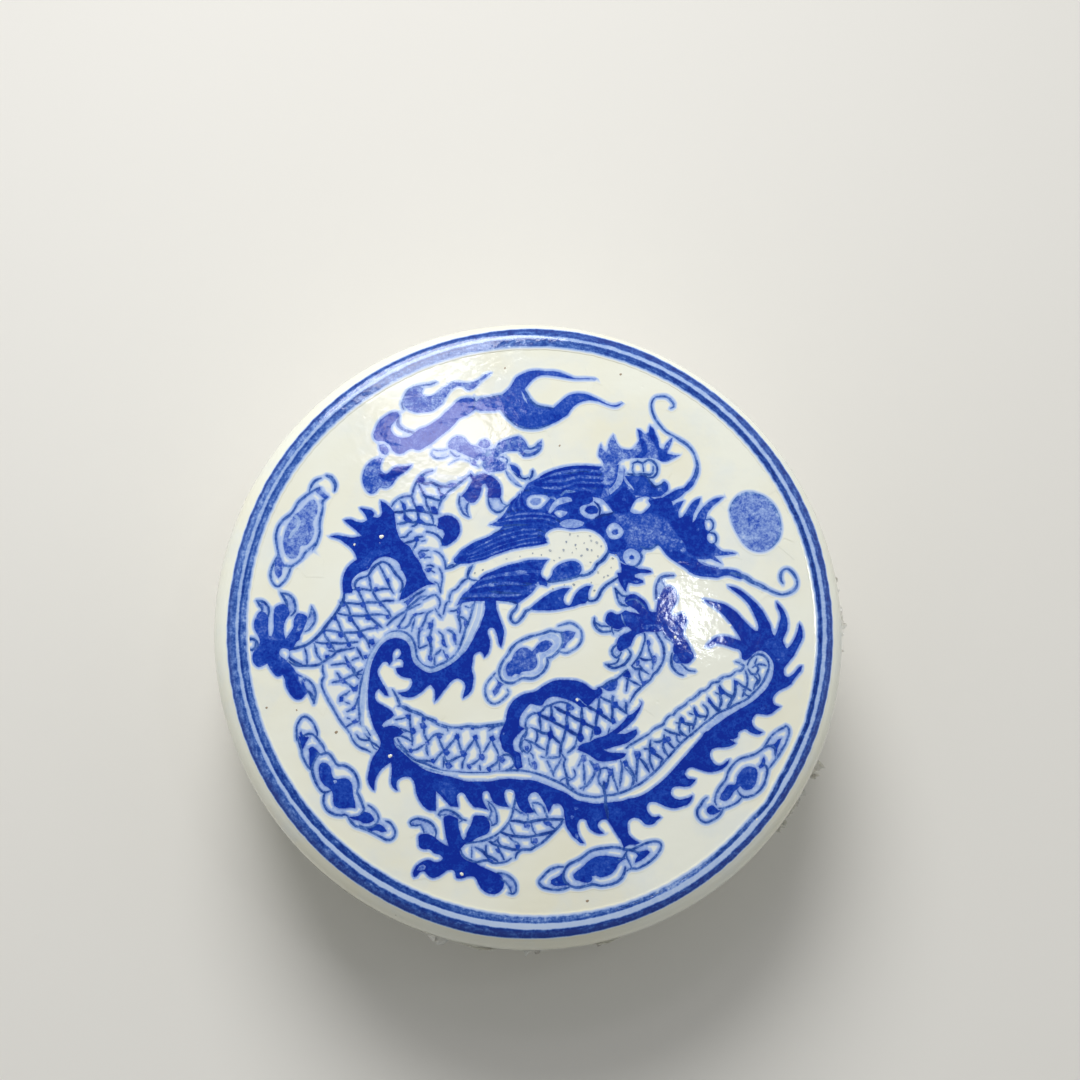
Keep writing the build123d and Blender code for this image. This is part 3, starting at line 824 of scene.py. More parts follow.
     12,-6, -14,-18, -18,-19, -20,-19, -24,-12, -22,-5, -26,-1, -20,7, -22,12, -24,10, -18,5, 0,16, -10,8,
     -1,12, 7,9, 8,6, -7,5, 2,11, 8,11, 11,1),
     (66,30, -9,-151, -3,7, 1,7, 3,6, 4,5, -1,8, 1,8, 4,5, 6,3, 6,0),
     (72,28, 12,-102, 5,4, 3,4, 6,2, 4,2, 6,2, 7,0, 6,-2, 6,-4),
     (88,38, 11,-103, 8,-4, 9,-4, 8,-5, 8,-4, 8,-5, 8,-5, 4,-5),
     (88,40, 32,-94, 8,-5, 9,-4, 8,-5, 9,-4, 8,-5, 8,-4, 6,-3),
     (88,38, 70,-91, 8,-5, 8,-4, 7,-5, 7,-5, 6,-4),
     (80,34, 89,-81, 7,-4, 7,-3, 7,-5, 7,-5, 6,-4),
     (76,32, 105,-70, 8,-4, 8,-3, 5,-4),
     (80,34, 118,-56, 8,-4, 7,-3, 6,-4),
     (80,34, 2,-120, 7,-3, 8,-4, 9,-1, 4,-4, 4,-4, 5,-4),
     (66,30, -6,-135, 7,-3, 7,-3, 5,-4, 6,-3),
     (74,32, 13,-103, 0,-7, 1,-8, 0,-7),
     (78,36, 27,-92, 1,-8, 0,-8, 2,-4),
     (70,32, 26,-119, 1,-8, -2,-9, -2,-8, -1,-7, -1,-6),
     (74,36, 47,-91, 1,-9, -1,-10, 1,-9, -3,-6, -2,-9, -3,-8, -1,-8, -1,-7),
     (82,40, 66,-95, 0,-8, 0,-9, -1,-8, -1,-8, 0,-8),
     (78,36, 87,-79, 1,-8, -1,-8, -1,-8, -2,-9, 0,-8, -1,-8),
     (72,34, 103,-68, 3,-7, -1,-8, -1,-8, 1,-8, -1,-9, 1,-7),
     (78,36, 123,-59, -1,-9, 1,-8, -1,-9, 0,-9, 0,-8),
     (66,30, 111,-61, -1,-7, -1,-4),
     (66,32, -3,-120, -1,-7, -2,-6),
     (66,32, 9,-124, 1,-8, -3,-8),
     (68,30, 60,-131, -1,-7, -2,-6, -5,-5, -4,-3),
     (70,30, 80,-123, -1,-7, -2,-6),
     (66,30, 101,-121, -2,-7),
     (86,0, 25,-106, 4,1, 5,-6, -3,-2, -5,2),
     (80,0, 10,-100, 5,0, 0,-6, -4,1),
     (86,0, 46,-99, 6,-2, -1,-5, -5,2),
     (93,0, 65,-108, 5,-2, 2,-6, -4,-2, -4,4),
     (93,0, 82,-118, 6,-1, 3,-6, -3,-4, -6,0, -1,6),
     (93,0, 85,-95, 6,-1, 2,-6, -5,-2, -4,3),
     (93,0, 61,-127, 5,0, 3,-7, -4,-5, -4,3),
     (86,0, 45,-116, 5,-1, 0,-6, -5,-1),
     (93,0, 24,-125, 5,1, 1,-8, -4,-3, -3,4),
     (74,0, 104,-87, 7,0, 2,-7, -5,-2, -4,3),
     (78,0, 104,-107, 4,-2, 1,-5, -4,-2, -2,4),
     (78,0, 121,-74, 5,-1, 1,-7, -4,-2, -3,4),
     (68,0, 102,-64, 7,2, 1,-7, -6,-1),
     (62,0, 47,-90, 7,-2, 3,-4, -5,-3, -5,3),
     (30,0, 92,-76, -2,-5, -6,-6, 2,6),
     (62,26, -8,-136, -2,-6, 2,-7, 5,-3, 4,4, 1,6, -4,4),
     (66,0, -6,-144, 4,1, 2,-4, -3,-3, -3,2),
     (58,26, 1,-152, 3,-3, 1,-4),
     (60,26, -1,-159, 1,-7, 4,-5, 4,-2),
     (55,0, 2,-164, 5,2, 3,-5, -1,-6, -5,1),
     (56,30, 15,-157, 7,-1, 8,0, 8,1),
     (62,28, 22,-162, 4,-8, 3,-7, 2,-5),
     (62,28, 40,-160, -4,-7, -4,-6, -2,-7),
     (68,30, 41,-154, 4,-6, -2,-6, 2,-8, 2,-8, 1,-7, 2,-5, 6,-4),
     (62,24, 38,-189, 2,3, 4,2, 5,1, 4,-2),
     (60,26, 56,-173, 2,-7, -4,-5, -5,-2),
     (55,30, 61,-169, 4,7, 2,6),
     (55,0, 66,-154, 5,-1, 1,-6, -4,-4, -3,5),
     (64,30, 68,-166, 1,-9, 0,-9, 1,-8, -2,-7),
     (60,36, 76,-162, 6,-8, 0,-8, -4,-8, -6,-7, -8,-4),
     (62,32, 85,-166, 4,-8, -2,-9, 1,-7, 5,-6, 1,-7),
     (64,28, 90,-172, 7,1, 5,-3, -2,-8, -1,-8, -3,-8),
     (64,28, 105,-172, 0,-8, 2,-7, 3,-7, 2,-8),
     (70,32, 115,-162, 2,-8, -1,-8, -1,-8, -1,-8),
     (72,32, 117,-165, 5,4, 2,-7, 5,-7, 3,-7, -1,-10),
     (70,36, 133,-151, 3,-9, 0,-9, -1,-9, 0,-10),
     (50,0, 80,-166, 7,1, 2,-7, -5,-5, -3,5),
     (62,0, 97,-172, 8,0, 0,-7, -4,-3, -2,5),
     (78,0, 118,-163, 5,1, 2,-7, -5,-1),
     (62,0, 132,-150, 7,0, 2,-5, -4,-6, -3,3),
     (74,0, 93,-190, 5,1, 0,-8, -4,-2),
     (78,36, 139,-159, 5,-5, 4,-6, 3,-6),
     (80,36, 145,-147, 5,0, 5,-4, 4,-3, 5,-3, 5,-4),
     (72,32, 153,-136, -1,-8, 0,-8, 0,-8, 2,-8, 3,-6),
     (74,34, 157,-138, 7,0, 5,3, 1,6),
     (70,32, 169,-137, 0,-8, 3,-7, 4,-5),
     (70,32, 170,-132, 6,-7, 4,-5, 5,-3),
     (66,30, 186,-128, 0,-7, 5,-5),
     (66,30, 169,-160, -3,-4, -1,-5),
     (62,30, 120,-170, 5,-5, 5,-6, 1,-7, -3,-8),
     (80,0, 152,-144, 4,-1, 4,-5, -2,-5, -5,2),
     (66,0, 168,-134, 4,1, 1,-6, -4,-2),
     (70,30, 122,-146, 5,4, 5,3, 7,4, 7,4, 5,3),
     (66,30, -120,-171, 10,-2, 10,-1, 10,-1, 10,-1, 10,0, 10,0, 8,0, 9,2, 8,0, 10,0, 10,0, 10,-1, 10,-2,
     10,-3, 10,-4, 9,-4, 8,-4, 8,-5, 8,-5, 7,-3, 10,-2, 10,-1, 10,2, 10,1, 8,2, 9,3, 8,4, 10,5, 10,8, 8,7,
     8,8, 8,9, 8,9, 6,7, 6,6, 6,5, 4,4),
    ),
    "lower_body": (
     (5,0, -169,-98, 6,5, 13,-5, 13,-5, 12,-6, 8,-6, 13,-4, 14,-1, 15,1, 18,1, 17,1, 14,3, -6,-12, -6,-14,
     6,-12, 12,-4, 2,-14, -12,-4, -30,-2, -38,1, -24,5, -26,11, -16,15, -8,12, 8,8, -8,10, 0,10),
     (66,28, -173,-72, 4,-7, 4,-7, 2,-6, 7,-2, 6,-4, 6,-2, 7,-3, 5,-4, 7,-2, 5,-2, 3,-4, 7,-2, 6,-2, 4,-1,
     10,0, 7,1, 8,1, 10,-2, 8,2, 7,-1, 10,1, 8,2, 6,3),
     (68,30, -166,-93, 4,0, 4,-1),
     (68,30, -169,-110, 7,1, 6,2),
     (68,30, -151,-104, 0,-8, 1,-8, 1,-8, 1,-7, 0,-7),
     (68,30, -134,-105, -1,-7, 2,-8, 0,-8, 3,-7, 3,-5),
     (68,30, -163,-121, 7,-3, 6,-2),
     (68,30, -169,-131, 8,0, 7,-3, 4,-3),
     (68,30, -104,-120, 1,-4),
     (68,30, -131,-140, 6,6, 4,4, 6,2, 6,-1),
     (68,30, -115,-133, 3,-7, 2,-5, 3,-4),
     (68,30, -130,-141, 0,-8, 2,-6),
     (68,30, -151,-149, 7,1, 6,3, 6,4),
     (68,30, -167,-134, 4,-6, 4,-6, 6,-5),
     (68,30, -120,-163, 4,6, 4,4, 4,4, 5,4, 4,5, 4,5, 3,7),
     (68,30, -92,-128, 2,-7, 1,-6, 2,-6, 3,-5),
     (68,30, -81,-151, 4,6, 4,5, 3,5),
     (68,30, -68,-134, 2,-7, 3,-6, 1,-6),
     (68,30, -58,-151, 4,6, 3,5, 3,5),
     (68,30, -47,-137, 3,-7, 3,-5, 2,-6),
     (68,30, -51,-124, 4,3, 6,3),
     (68,30, -107,-155, 1,-6, 4,-2, 5,2, 5,3, 6,2),
     (68,30, -81,-158, -3,-6, -1,-7),
     (68,30, -78,-169, 6,3, 5,3, 4,4),
     (68,30, -40,-156, 0,-6, -3,-4, -5,-3, -6,-3),
     (68,30, -38,-164, 0,-9),
     (68,30, -151,-156, 7,-5, 8,-1, 8,0, 5,-1),
     (68,30, -109,-157, 1,-6, -1,-7),
     (68,30, -39,-160, 4,4, 6,2, 6,-2, 3,-5, 1,-5, -4,-5, -7,-3),
     (68,30, -63,-168, 1,-6),
     (66,30, -165,-143, 9,-9, 8,-7, 9,-4, 9,-3, 8,-4, 8,-2),
     (66,0, -157,-104, 4,1, 2,-4, -2,-3, -3,2),
     (62,0, -139,-115, 6,2, 4,-6, -4,-4, -4,2),
     (66,0, -136,-106, 4,1, 2,-4, -2,-3, -3,2),
     (68,0, -151,-121, 5,1, 3,-5, -3,-4, -4,2),
     (64,0, -118,-129, 5,2, 3,-5, -3,-3, -4,2),
     (80,0, -95,-130, 5,2, 2,-5, -3,-3, -3,2),
     (80,0, -72,-131, 5,2, 2,-5, -3,-3, -3,2),
     (84,0, -51,-132, 5,2, 3,-5, -3,-3, -4,2),
     (70,0, -110,-148, 6,2, 4,-6, -4,-4, -4,2),
     (68,0, -88,-150, 6,2, 4,-6, -4,-4, -4,2),
     (68,0, -64,-154, 5,1, 3,-5, -3,-4, -4,2),
     (64,0, -40,-157, 6,2, 4,-6, -4,-4, -4,2),
     (64,0, -107,-165, 6,2, 4,-6, -4,-4, -4,2),
     (66,0, -79,-167, 4,1, 2,-4, -2,-3, -3,2),
     (74,0, -54,-170, 4,1, 2,-5, -2,-2, -3,1),
     (68,0, -125,-160, 4,1, 2,-4, -2,-3, -3,2),
     (68,0, -153,-147, 4,1, 2,-4, -2,-3, -3,2),
     (62,0, -132,-138, 4,1, 2,-4, -2,-2, -3,1),
     (66,0, -122,-111, 4,1, 2,-4, -2,-2, -3,1),
     (66,0, -75,-118, 4,1, 2,-4, -2,-2, -3,1),
     (70,0, -88,-120, 3,1, 1,-3, -2,-1, -2,1),
     (30,26, -172,-134, 7,-12, 9,-10, 10,-8, 12,-6, 12,-4, 12,-3),
    ),
    "tail": (
     (93,0, 267,-10, -5,1, -6,2, -7,2, -8,0, -7,-2, -5,-4, -6,-7, 6,1, 6,3, 8,-1, 7,-2, 8,-3, 7,-2, 3,-6,
     0,-5, 5,-2, 5,3, 5,5, 6,4, 7,-1, 5,-4, 4,-5, 3,-7, 0,-9, -2,-9, -4,-8, -5,-7, -7,-7, -7,-6, -9,-6,
     -9,-5, -8,-5, -7,-4, -8,-6, -9,-6, -7,-6, 8,-10, 26,0, 4,8, 8,4, 7,-4, 9,-3, 7,3, -7,3, -5,4, -2,5,
     1,6, 4,5, 6,0, 7,-1, 7,2, 5,4, 6,4, -8,3, -2,5, 1,5, 4,5, 6,4, 7,3, 5,4, 4,6, 5,6, 4,5, 1,6, -4,-2,
     -4,-5, -5,-5, -5,-2, -4,2, -1,5, 1,5, 4,5, 4,5, 4,5, 3,6, 3,6, 4,8, 1,6, -1,7, -3,8, -2,-8, -2,-7,
     -4,-8, -4,-6, -4,-3, -3,4, -2,6, 2,6, 3,7, 1,7, -1,8, -3,8, -5,7, -5,5, 1,-6, 3,-7, 1,-7, -2,-8, -2,-7,
     -3,-7, -2,1, -2,5, -2,7, -4,8, -5,9, -6,8, -7,7, -7,6, -8,6, -8,4, -9,2, 6,-5, 8,-6, 7,-6, 6,-7, 4,-7,
     4,-8, 3,-8, 1,-6, -1,-4, -3,0, -5,4, -6,6, -6,6, -6,7, -8,6, -9,5, -9,2, -8,2, -9,2, 7,-5, 8,-5, 7,-6,
     6,-6, 6,-7, 5,-7, 4,-6, 3,-5),
     (80,0, 317,18, 2,6, 5,-6, 0,-9, -1,-7, -3,-7, -2,-6, 4,-8, 8,0, 6,9, 4,10, 3,-3, -1,-6, -6,-11, -5,-10,
     -7,-8, -6,-2, -6,6, -6,8, -6,6, -2,8, 6,5, 8,1),
     (35,0, 311,-34, 2,2, 3,-2, -2,-2),
     (60,0, 291,-96, 5,3, 3,-3, -5,-3),
     (5,0, 283,-26, 7,2, 7,-2, 6,-6, 4,-9, -1,-11, -4,-10, -6,-10, -8,-8, -12,-9, -14,-8, -12,-7, -14,-10,
     -13,-11, -5,3, 11,10, 13,10, 14,7, 16,9, 12,10, 9,10, 7,14, 2,12, -4,8, -6,4, -6,0),
     (66,30, 275,-41, 2,5, 3,4, 6,4, 7,0, 6,-4, 3,-6, 0,-7, -3,-9, -4,-8, -5,-7, -6,-6, -7,-7, -8,-5, -9,-4,
     -7,-4, -9,-4, -8,-4, -7,-6, -7,-5, -7,-6, -6,-5, -6,-6),
     (60,30, 260,-37, 4,-1, 7,-4, -4,-6, -6,-1, -3,-3, -5,-3, -7,-1, -5,-3, -2,-3, -6,-1, -4,-2, -2,-4,
     -5,-4, -5,-1, -5,-5, -6,-5, -5,-2, -4,-5, -6,-4, -6,-4, -3,-5, -5,-1, -5,-5, -3,-6, -6,-3, -6,-3,
     -5,-5),
     (66,30, 287,-33, -2,-6, 4,-7, -3,-7, -6,1, -4,6),
     (66,30, 282,-44, 8,4, 9,-2),
     (70,34, 273,-49, 2,-8, 0,-8, -3,-8, -3,-8),
     (66,30, 263,-62, 5,-5, 6,-3, 6,-4),
     (66,30, 284,-55, 4,-5, -3,-6, -2,-6),
     (72,40, 259,-61, 1,-9, -1,-8, -4,-8, -5,-7),
     (72,38, 240,-67, 4,-7, 7,-5, 8,-2),
     (70,36, 240,-70, 1,-10, 1,-8, -3,-9),
     (72,38, 226,-83, 4,-7, 5,-5, 6,-2),
     (70,34, 219,-91, 5,-5, 1,-7, -4,-8),
     (74,40, 208,-95, 2,-8, 6,-3, 7,0),
     (70,34, 211,-104, -2,-9, -3,-9),
     (74,40, 192,-107, 3,-7, 7,-2, 7,0),
     (70,34, 190,-109, -1,-11, 1,-9),
     (75,0, 258,-60, 4,-1, 2,-5, -4,-2, -2,4),
     (80,0, 238,-68, 5,-3, 5,-6, -6,-2, -3,5),
     (80,0, 225,-83, 4,-2, 3,-5, -4,0, -3,3),
     (80,0, 207,-98, 4,-1, 3,-6, -4,-1, -2,3),
     (78,0, 190,-107, 5,-1, 1,-6, -5,-1),
     (70,30, 249,-79, 6,-3, -1,-8, -5,-7),
     (70,26, 235,-76, 6,-3),
     (72,34, 232,-94, 6,-5, 5,0),
     (70,26, 202,-102, 5,-2),
     (70,26, 185,-114, 6,-1),
     (72,36, 189,-122, 4,-6, 6,-3),
     (70,28, 202,-118, 0,-8),
     (70,30, 270,-72, 3,-7, 6,-1),
     (70,30, 289,-52, 2,-7, -4,-8),
     (70,0, 172,-131, 5,-1, 2,-4, -4,-3, -3,3),
     (74,34, 171,-123, 7,-3, 7,-2, 5,-2),
    ),
    "arm": (
     (5,0, 143,2, 11,0, 10,0, 6,-4, 8,-8, -6,-6, -2,-8, -1,-10, -5,-11, -6,-7, -5,-7, -8,-7, -8,-9, -7,-10,
     -8,-3, -30,16, 10,10, 11,8, 10,6, 8,8, 8,10, 5,12, 1,12),
     (74,30, 159,1, 3,-5, 4,-6, 3,-7, 1,-7, 0,-6, -2,-7, -3,-6, -4,-6, -5,-4, -3,-6, -6,-5, -6,-5, -7,-7,
     -4,-6, -3,-6),
     (74,28, 145,-1, 1,-7, -2,-7, -2,-7, -3,-7, -5,-7, -5,-6),
     (60,30, 169,0, 3,-6, 5,-4, 4,-3),
     (70,28, 150,-10, 0,-8, 2,-7, 3,-7, 1,-8, -1,-6),
     (76,32, 138,-31, 5,-3, 6,-1, 6,1),
     (78,34, 129,-42, 5,-4, 6,0, 5,-3, 5,-3),
     (70,30, 138,-41, 4,-4, 2,-4),
     (66,28, 139,-48, 0,-6, 2,-6, 4,-5),
     (74,30, 122,-58, 6,-3, 6,-3, 6,-3),
     (70,30, 125,-49, 1,-6, -2,-6, -1,-7, -1,-6),
     (62,0, 148,-9, 4,-1, 1,-4, -2,-4, -3,3),
     (62,0, 155,-29, 4,0, 2,-5, -2,-5, -4,1),
     (66,0, 134,-36, 5,1, 0,-5, -4,-3),
     (66,0, 140,-62, 5,1, 6,2, -2,-3, -6,-6),
     (90,0, 123,-47, 4,-4, 1,-6, -4,0, -6,2, 2,4),
     (70,0, 92,-70, 6,5, 7,4, 6,2, 0,-7, -3,-6, -8,-2),
     (72,30, 86,-70, 7,2, 5,4, 6,3, 6,2, 6,5, 5,5, 3,2),
    ),
    "body": (
     (82,36, -302,-21, 6,1, 7,2, 7,2, 6,4, 6,5, 5,5, 5,6, 5,7, 6,7, 5,7, 5,8, 4,8, 1,9),
     (80,40, -305,-30, 4,-4, 6,-4, 7,-2),
     (72,32, -303,-37, 6,-4, 7,-1, 8,0, 9,0, 8,2, 6,4, 6,4, 5,3, 5,5),
     (60,30, -261,-39, 0,-10, 2,-6, -3,-5, 0,-8, 3,-8, 3,-6, 4,-7, 4,-7, 4,-7, 4,-7, 5,-7, 5,-6, 4,-6),
     (60,28, -196,-21, -6,-9, -3,-10, -3,-10, -4,-10, -2,-10, -1,-10, -1,-10, 1,-10, 1,-10, 3,-7, 5,-6,
     5,-7),
     (62,30, -199,-24, 5,7, 6,7, 7,6, 7,4, 9,2, 8,-2, 7,-5, 4,-7, 2,-8, 1,-8, 3,-7, 4,-5, 6,-3, 8,-1, 10,4,
     10,5, 8,7, 5,8, 3,8, 3,8, 2,8, 3,7, 3,7, 2,7, 2,8, 2,6),
     (60,26, -172,-73, 4,-7, 2,-7, 4,-6, 8,-5, 8,-3, 8,-3, 8,-4, 7,-4, 9,-5, 10,-3, 12,0, 10,1, 10,0, 10,1,
     10,1, 10,1, 10,2, 6,1),
     (5,0, -223,64, 4,6, 7,4, 8,2, 3,6, 5,6, 7,4, 7,2, 8,-2, 6,-4, 3,-6, 3,-6, 4,-6, 0,-8, -3,-2, -2,7,
     -6,6, -4,6, -5,7, -7,4, -7,-2, -6,-6, -5,-9, -9,-3, -7,-5),
     (78,32, -220,56, 0,7, 5,5, 6,2, 5,2, 4,6, 4,5, 5,4, 6,2, 6,-2, 4,-4, 3,-5, 4,-5, 4,-4, 3,-5, 1,-6,
     -3,-7),
     (66,28, -226,-128, 3,-8, 5,-6, 6,-4, 6,-2, 5,-3),
     (13,50, -203,-131, -7,11, -1,15, 1,15, 1,15, 1,15, 3,15, 5,15, 7,12, 8,10, 9,5, 10,1, 9,-2, 6,-7, 3,-8,
     1,-8, 3,-8, 6,-7, 8,-4, 8,-2, 10,4, 10,4, 10,8, 8,9, 5,10, 5,11, 5,11, 4,11, 2,12, 0,8),
    ),
    "fins": (
     (94,0, -235,48, -1,10, 0,8, 2,8, 4,8, 6,6, 6,4, -2,7, -5,7, -7,6, -9,6, -11,3, 10,2, 10,-2, 9,-1, 11,2,
     -8,8, -8,6, -6,6, 8,1, 8,-3, 7,-1, 6,3, -2,6, -7,9, 8,-1, 7,-2, 3,-4, -2,-4, 4,-1, 5,1, 3,5, -1,7,
     -1,8, 5,-2, 5,-4, 4,-4, 3,-4, 1,-7, 1,-7, 1,-7, 2,-6, 3,-7, 5,-5, 7,-5, 4,-7, 3,-5, 4,-5, 3,-5, 2,-6,
     3,-6, 3,-6, 4,-4, 6,-3, -9,-1, -7,-3, -7,-4, -8,-5, -7,-5, -7,-2, 2,9, 3,6, 3,6, 0,7, -3,6, -3,5, -2,6,
     -4,5, -6,3, -8,2, -8,-2, -6,-4, -4,-5, -3,-5, -5,-2, -7,-3, -5,-4, -4,-5, -1,-6, 2,-6, -1,-4, -5,0),
     (70,0, -222,86, 10,4, 6,6, 6,8, 8,2, 8,-4, 8,0, -4,-3, -10,-2, -10,-5, -6,-7, -10,-4),
     (96,0, -170,-7, -8,-2, -7,-5, -6,-7, -4,-8, -4,-9, -2,-9, -1,-9, -1,-9, -1,-10, 0,-10, 1,-10, 2,-10,
     3,-9, 5,-10, 7,-2, 0,9, 4,5, 6,3, 5,5, -3,5, -6,4, -7,4, -5,3, -3,6, 1,7, 4,4, 3,-3, 4,-5, 5,-1, -3,8,
     -4,7, -4,7, -3,7, 1,5, 3,5, 4,4, 4,0, 3,-4, 4,5, 0,7, 2,6, 4,3, 3,-1, 2,-5, -2,-4, -4,-4, 6,0, 3,-4,
     -1,-6, -9,-1, 2,-6, 5,-4, 6,-2, 6,-1, 2,-5, -2,-6, -5,-5, -11,-2, 7,-5, 9,-1, 8,3, 7,5, 5,5, 5,3, 5,-6,
     1,-8, -1,-8, 6,7, 5,7, 5,6, 4,5, 4,3, 5,2, 5,-2, 4,-4, 1,-6, -2,-6, -1,-7, 7,5, 4,6, 2,10, 0,8, -2,8,
     1,8, 1,8, 3,4, 5,2, 4,-2, 2,-5, 4,4, 2,5, 1,6, 0,6, -2,6, -1,6, 3,4, 4,0, 4,-6, 2,-7, 1,-6, 3,-5, 2,6,
     1,6, 1,7, -2,7, -3,8, -3,8, -2,8, 0,10, -15,0, 1,-10, -1,-8, -3,-8, -2,-7, -4,-7, -4,-8, -5,-9, -5,-8,
     -7,-7, -8,-7, -9,-6, -8,-4, -8,-3, -7,-1, -7,3, -6,4, -6,6, -3,8, -1,7, -2,7, -4,5, -6,3),
     (62,0, -140,-61, 4,-1, 2,-4, -4,-4, -4,3),
    ),
    "elbow_fin": (
     (97,0, -188,-126, 1,-8, -1,-8, -3,-6, -5,-7, -4,-8, -2,-9, -2,-10, 1,-8, 3,-6, 4,-4, 0,6, 1,7, 3,7,
     5,7, 6,5, 6,4, 1,-6, 0,-8, -1,-8, 1,-7, 4,-5, 4,-2, -2,6, 1,6, 4,4, 7,2, 6,-1, 4,-5, 2,-7, 1,-8, 3,-7,
     4,-7, 5,-5, 6,-3, 7,0, 0,47, -10,3, -8,4, -7,5, -7,5, -6,6, -6,5, -6,5, -3,6, -1,7, 0,6),
     (5,0, -178,-154, 2,1, 2,-3, -2,-3, -2,1),
     (97,0, -200,-110, 10,0, 3,-6, 3,-4, 6,2, 8,0, 7,-4, 4,-4, -4,-4, -7,-2, -2,-4, 2,-6, 5,-7, -10,-6,
     -13,8, 0,8, -2,7, -4,7, -3,7),
    ),
    "belly_fin": (
     (97,0, -119,-178, 9,-2, 10,-2, 10,-3, 10,-3, 10,0, 10,0, 10,0, 10,2, 10,1, 10,0, 10,-1, 10,0, 10,-2,
     10,-4, 10,-4, 10,-4, 10,-5, 7,-5, 8,-3, 10,-2, 10,-1, 10,1, 10,1, 10,1, 10,3, 10,2, 10,4, 9,6, 8,6,
     8,7, 8,8, 8,9, 8,9, 8,9, 8,9, 7,8, 9,9, 34,-2, -6,-5, -1,-4, 5,-3, 2,-2, -5,-3, -7,-2, -8,0, -6,-1,
     -4,-2, -2,-5, 1,-6, 4,-6, 5,-3, 6,1, 5,4, 3,3, -1,-5, -4,-5, -7,-4, -7,-2, -8,0, -7,2, -6,2, -6,2,
     -5,-1, -3,-3, -2,-4, 2,-4, 4,-3, 4,0, 4,-1, -3,-4, -5,-4, -6,-1, -7,1, -6,-1, -4,-4, 0,-6, 4,-4, 6,-2,
     7,1, 6,2, 4,2, -2,-6, -4,-5, -8,-3, -9,-2, -7,1, -6,2, -6,3, -7,2, -6,-1, -3,-5, 1,-6, 4,-5, 5,-2, 5,1,
     3,-2, -5,-3, -3,-4, -6,-2, -6,1, -4,4, -4,3, -6,1, -5,-2, -3,-5, 0,-7, 1,-6, 4,-5, 5,-4, 6,-3, -7,-2,
     -7,0, -5,-3, -2,-4, -1,6, -3,7, -4,6, -4,6, -4,7, -4,5, -5,2, -5,-2, -3,-5, 2,-5, 3,-3, 3,-3, -6,0,
     -6,2, -5,3, -3,5, -2,6, -4,3, -4,-1, -3,-4, -1,-5, 1,-6, 2,-6, 3,-5, 3,-4, -5,0, -4,4, -5,4, -4,6,
     -4,6, -2,7, -1,8, -1,7, -3,6, -4,2, -6,-1, -3,-5, -3,-6, -2,6, -3,6, -3,5, -3,5, -4,4, -5,0, -4,-3,
     -2,-5, 2,-6, 2,-5, 4,-6, -7,-1, -6,1, -5,4, -3,5, -2,6, -1,7, -2,5, -5,2, -5,-1, -2,-5, 1,-6, 2,-5,
     3,-5, -8,0, -6,2, -5,3, -3,5, -2,6, -3,4, -5,-1, -2,-5, 1,-6, 3,-6, 4,-6, -7,2, -6,1, -5,1, -5,5, -4,6,
     -3,5, -4,2, -4,-2, -2,-4, 1,-6, 1,-6, -5,0, -5,1, -5,5, -7,8, -8,7, -6,5, -2,10),
     (70,0, -114,-188, 8,-1, 10,-5, 6,-5, -3,-6, 0,-8, -5,-3, -6,6, -6,8, -5,6),
     (80,0, 72,-220, 14,-2, 7,0, 0,-10, -6,-4, -4,-3, -6,6, -6,4),
     (82,0, 101,-220, 15,-2, 1,-14, -7,-8, -6,6, -4,6),
     (35,0, 56,-221, 3,1, 3,-2, -2,-2, -3,0),
     (45,0, 52,-232, 2,2, 2,-3, -2,-3, -2,1),
     (50,0, 58,-254, 2,1, 2,-4, -1,-4, -3,2),
     (60,0, 192,-175, 2,2, 2,-4, -2,-4, -2,2),
     (72,0, 190,-185, 5,1, 7,-4, -2,-3, -7,0),
     (78,0, 184,-212, 8,-1, 7,1, -3,-4, -8,-2),
     (80,40, 94,-189, 0,-9, 2,-10, 0,-10, 2,-8, 1,-10),
    ),
    "haunch_fin": (
     (97,0, -30,-111, 1,7, 2,7, 3,6, 5,6, 7,5, 7,3, 7,1, 6,2, 6,4, 6,4, 8,4, 8,2, 8,0, 8,0, 8,-1, 8,-3,
     6,-4, 6,-4, 5,0, 3,3, 3,-2, 1,-5, -3,-3, -5,-4, -5,-5, -4,-4, -5,-2, -6,0, -5,4, -5,3, -6,2, -6,2,
     -8,2, -8,-1, -6,-4, -4,-6, -7,0, -7,2, -4,-3, -5,-6, -4,-6, -2,-7, 1,-6, 6,-3, -6,-5, -4,-4, -4,-6,
     -1,-7, 2,-6, 5,-2, 3,-4, 1,-7, 1,-8, -6,-3, -4,4, 0,7, -2,5, -4,4, -5,2, -4,4, -2,7, -2,7, 2,8, 3,7),
     (66,0, -17,-156, 4,0, 1,-7, 1,-6, -4,-2, -2,6),
     (5,0, 58,-85, 2,3, 4,-2, -2,-2, -3,-1),
     (5,16, 63,-84, 3,-3, 3,-3, 3,-2),
     (30,0, -34,-127, 2,1, 1,-2, -2,-1),
     (75,0, 82,-74, 5,2, 3,-3, -3,-3, -4,0),
     (96,0, 142,-89, -3,-9, -4,-7, -4,-6, -5,-5, -6,-5, -7,-6, 7,-1, 8,3, 7,3, 1,-4, -2,-5, -6,-5, -6,-4,
     -7,-2, -7,-2, -7,-2, -7,-2, 6,-3, 8,-1, 8,0, 6,-1, -2,-4, -7,-3, -9,-2, -9,-1, -8,1, -7,4, -6,4, -6,3,
     -7,3, 1,4, 6,4, 8,2, 7,4, 7,2, 8,3, 6,4, 6,4, 6,6, 5,5, 3,5, 5,2, 4,3, 5,5),
     (60,0, 82,-154, 4,2, 4,-3, -3,-3, -4,1),
     (5,0, 111,-128, 5,4, 6,2, 7,0, -6,-4, -7,-2),
    ),
    "cheek": (
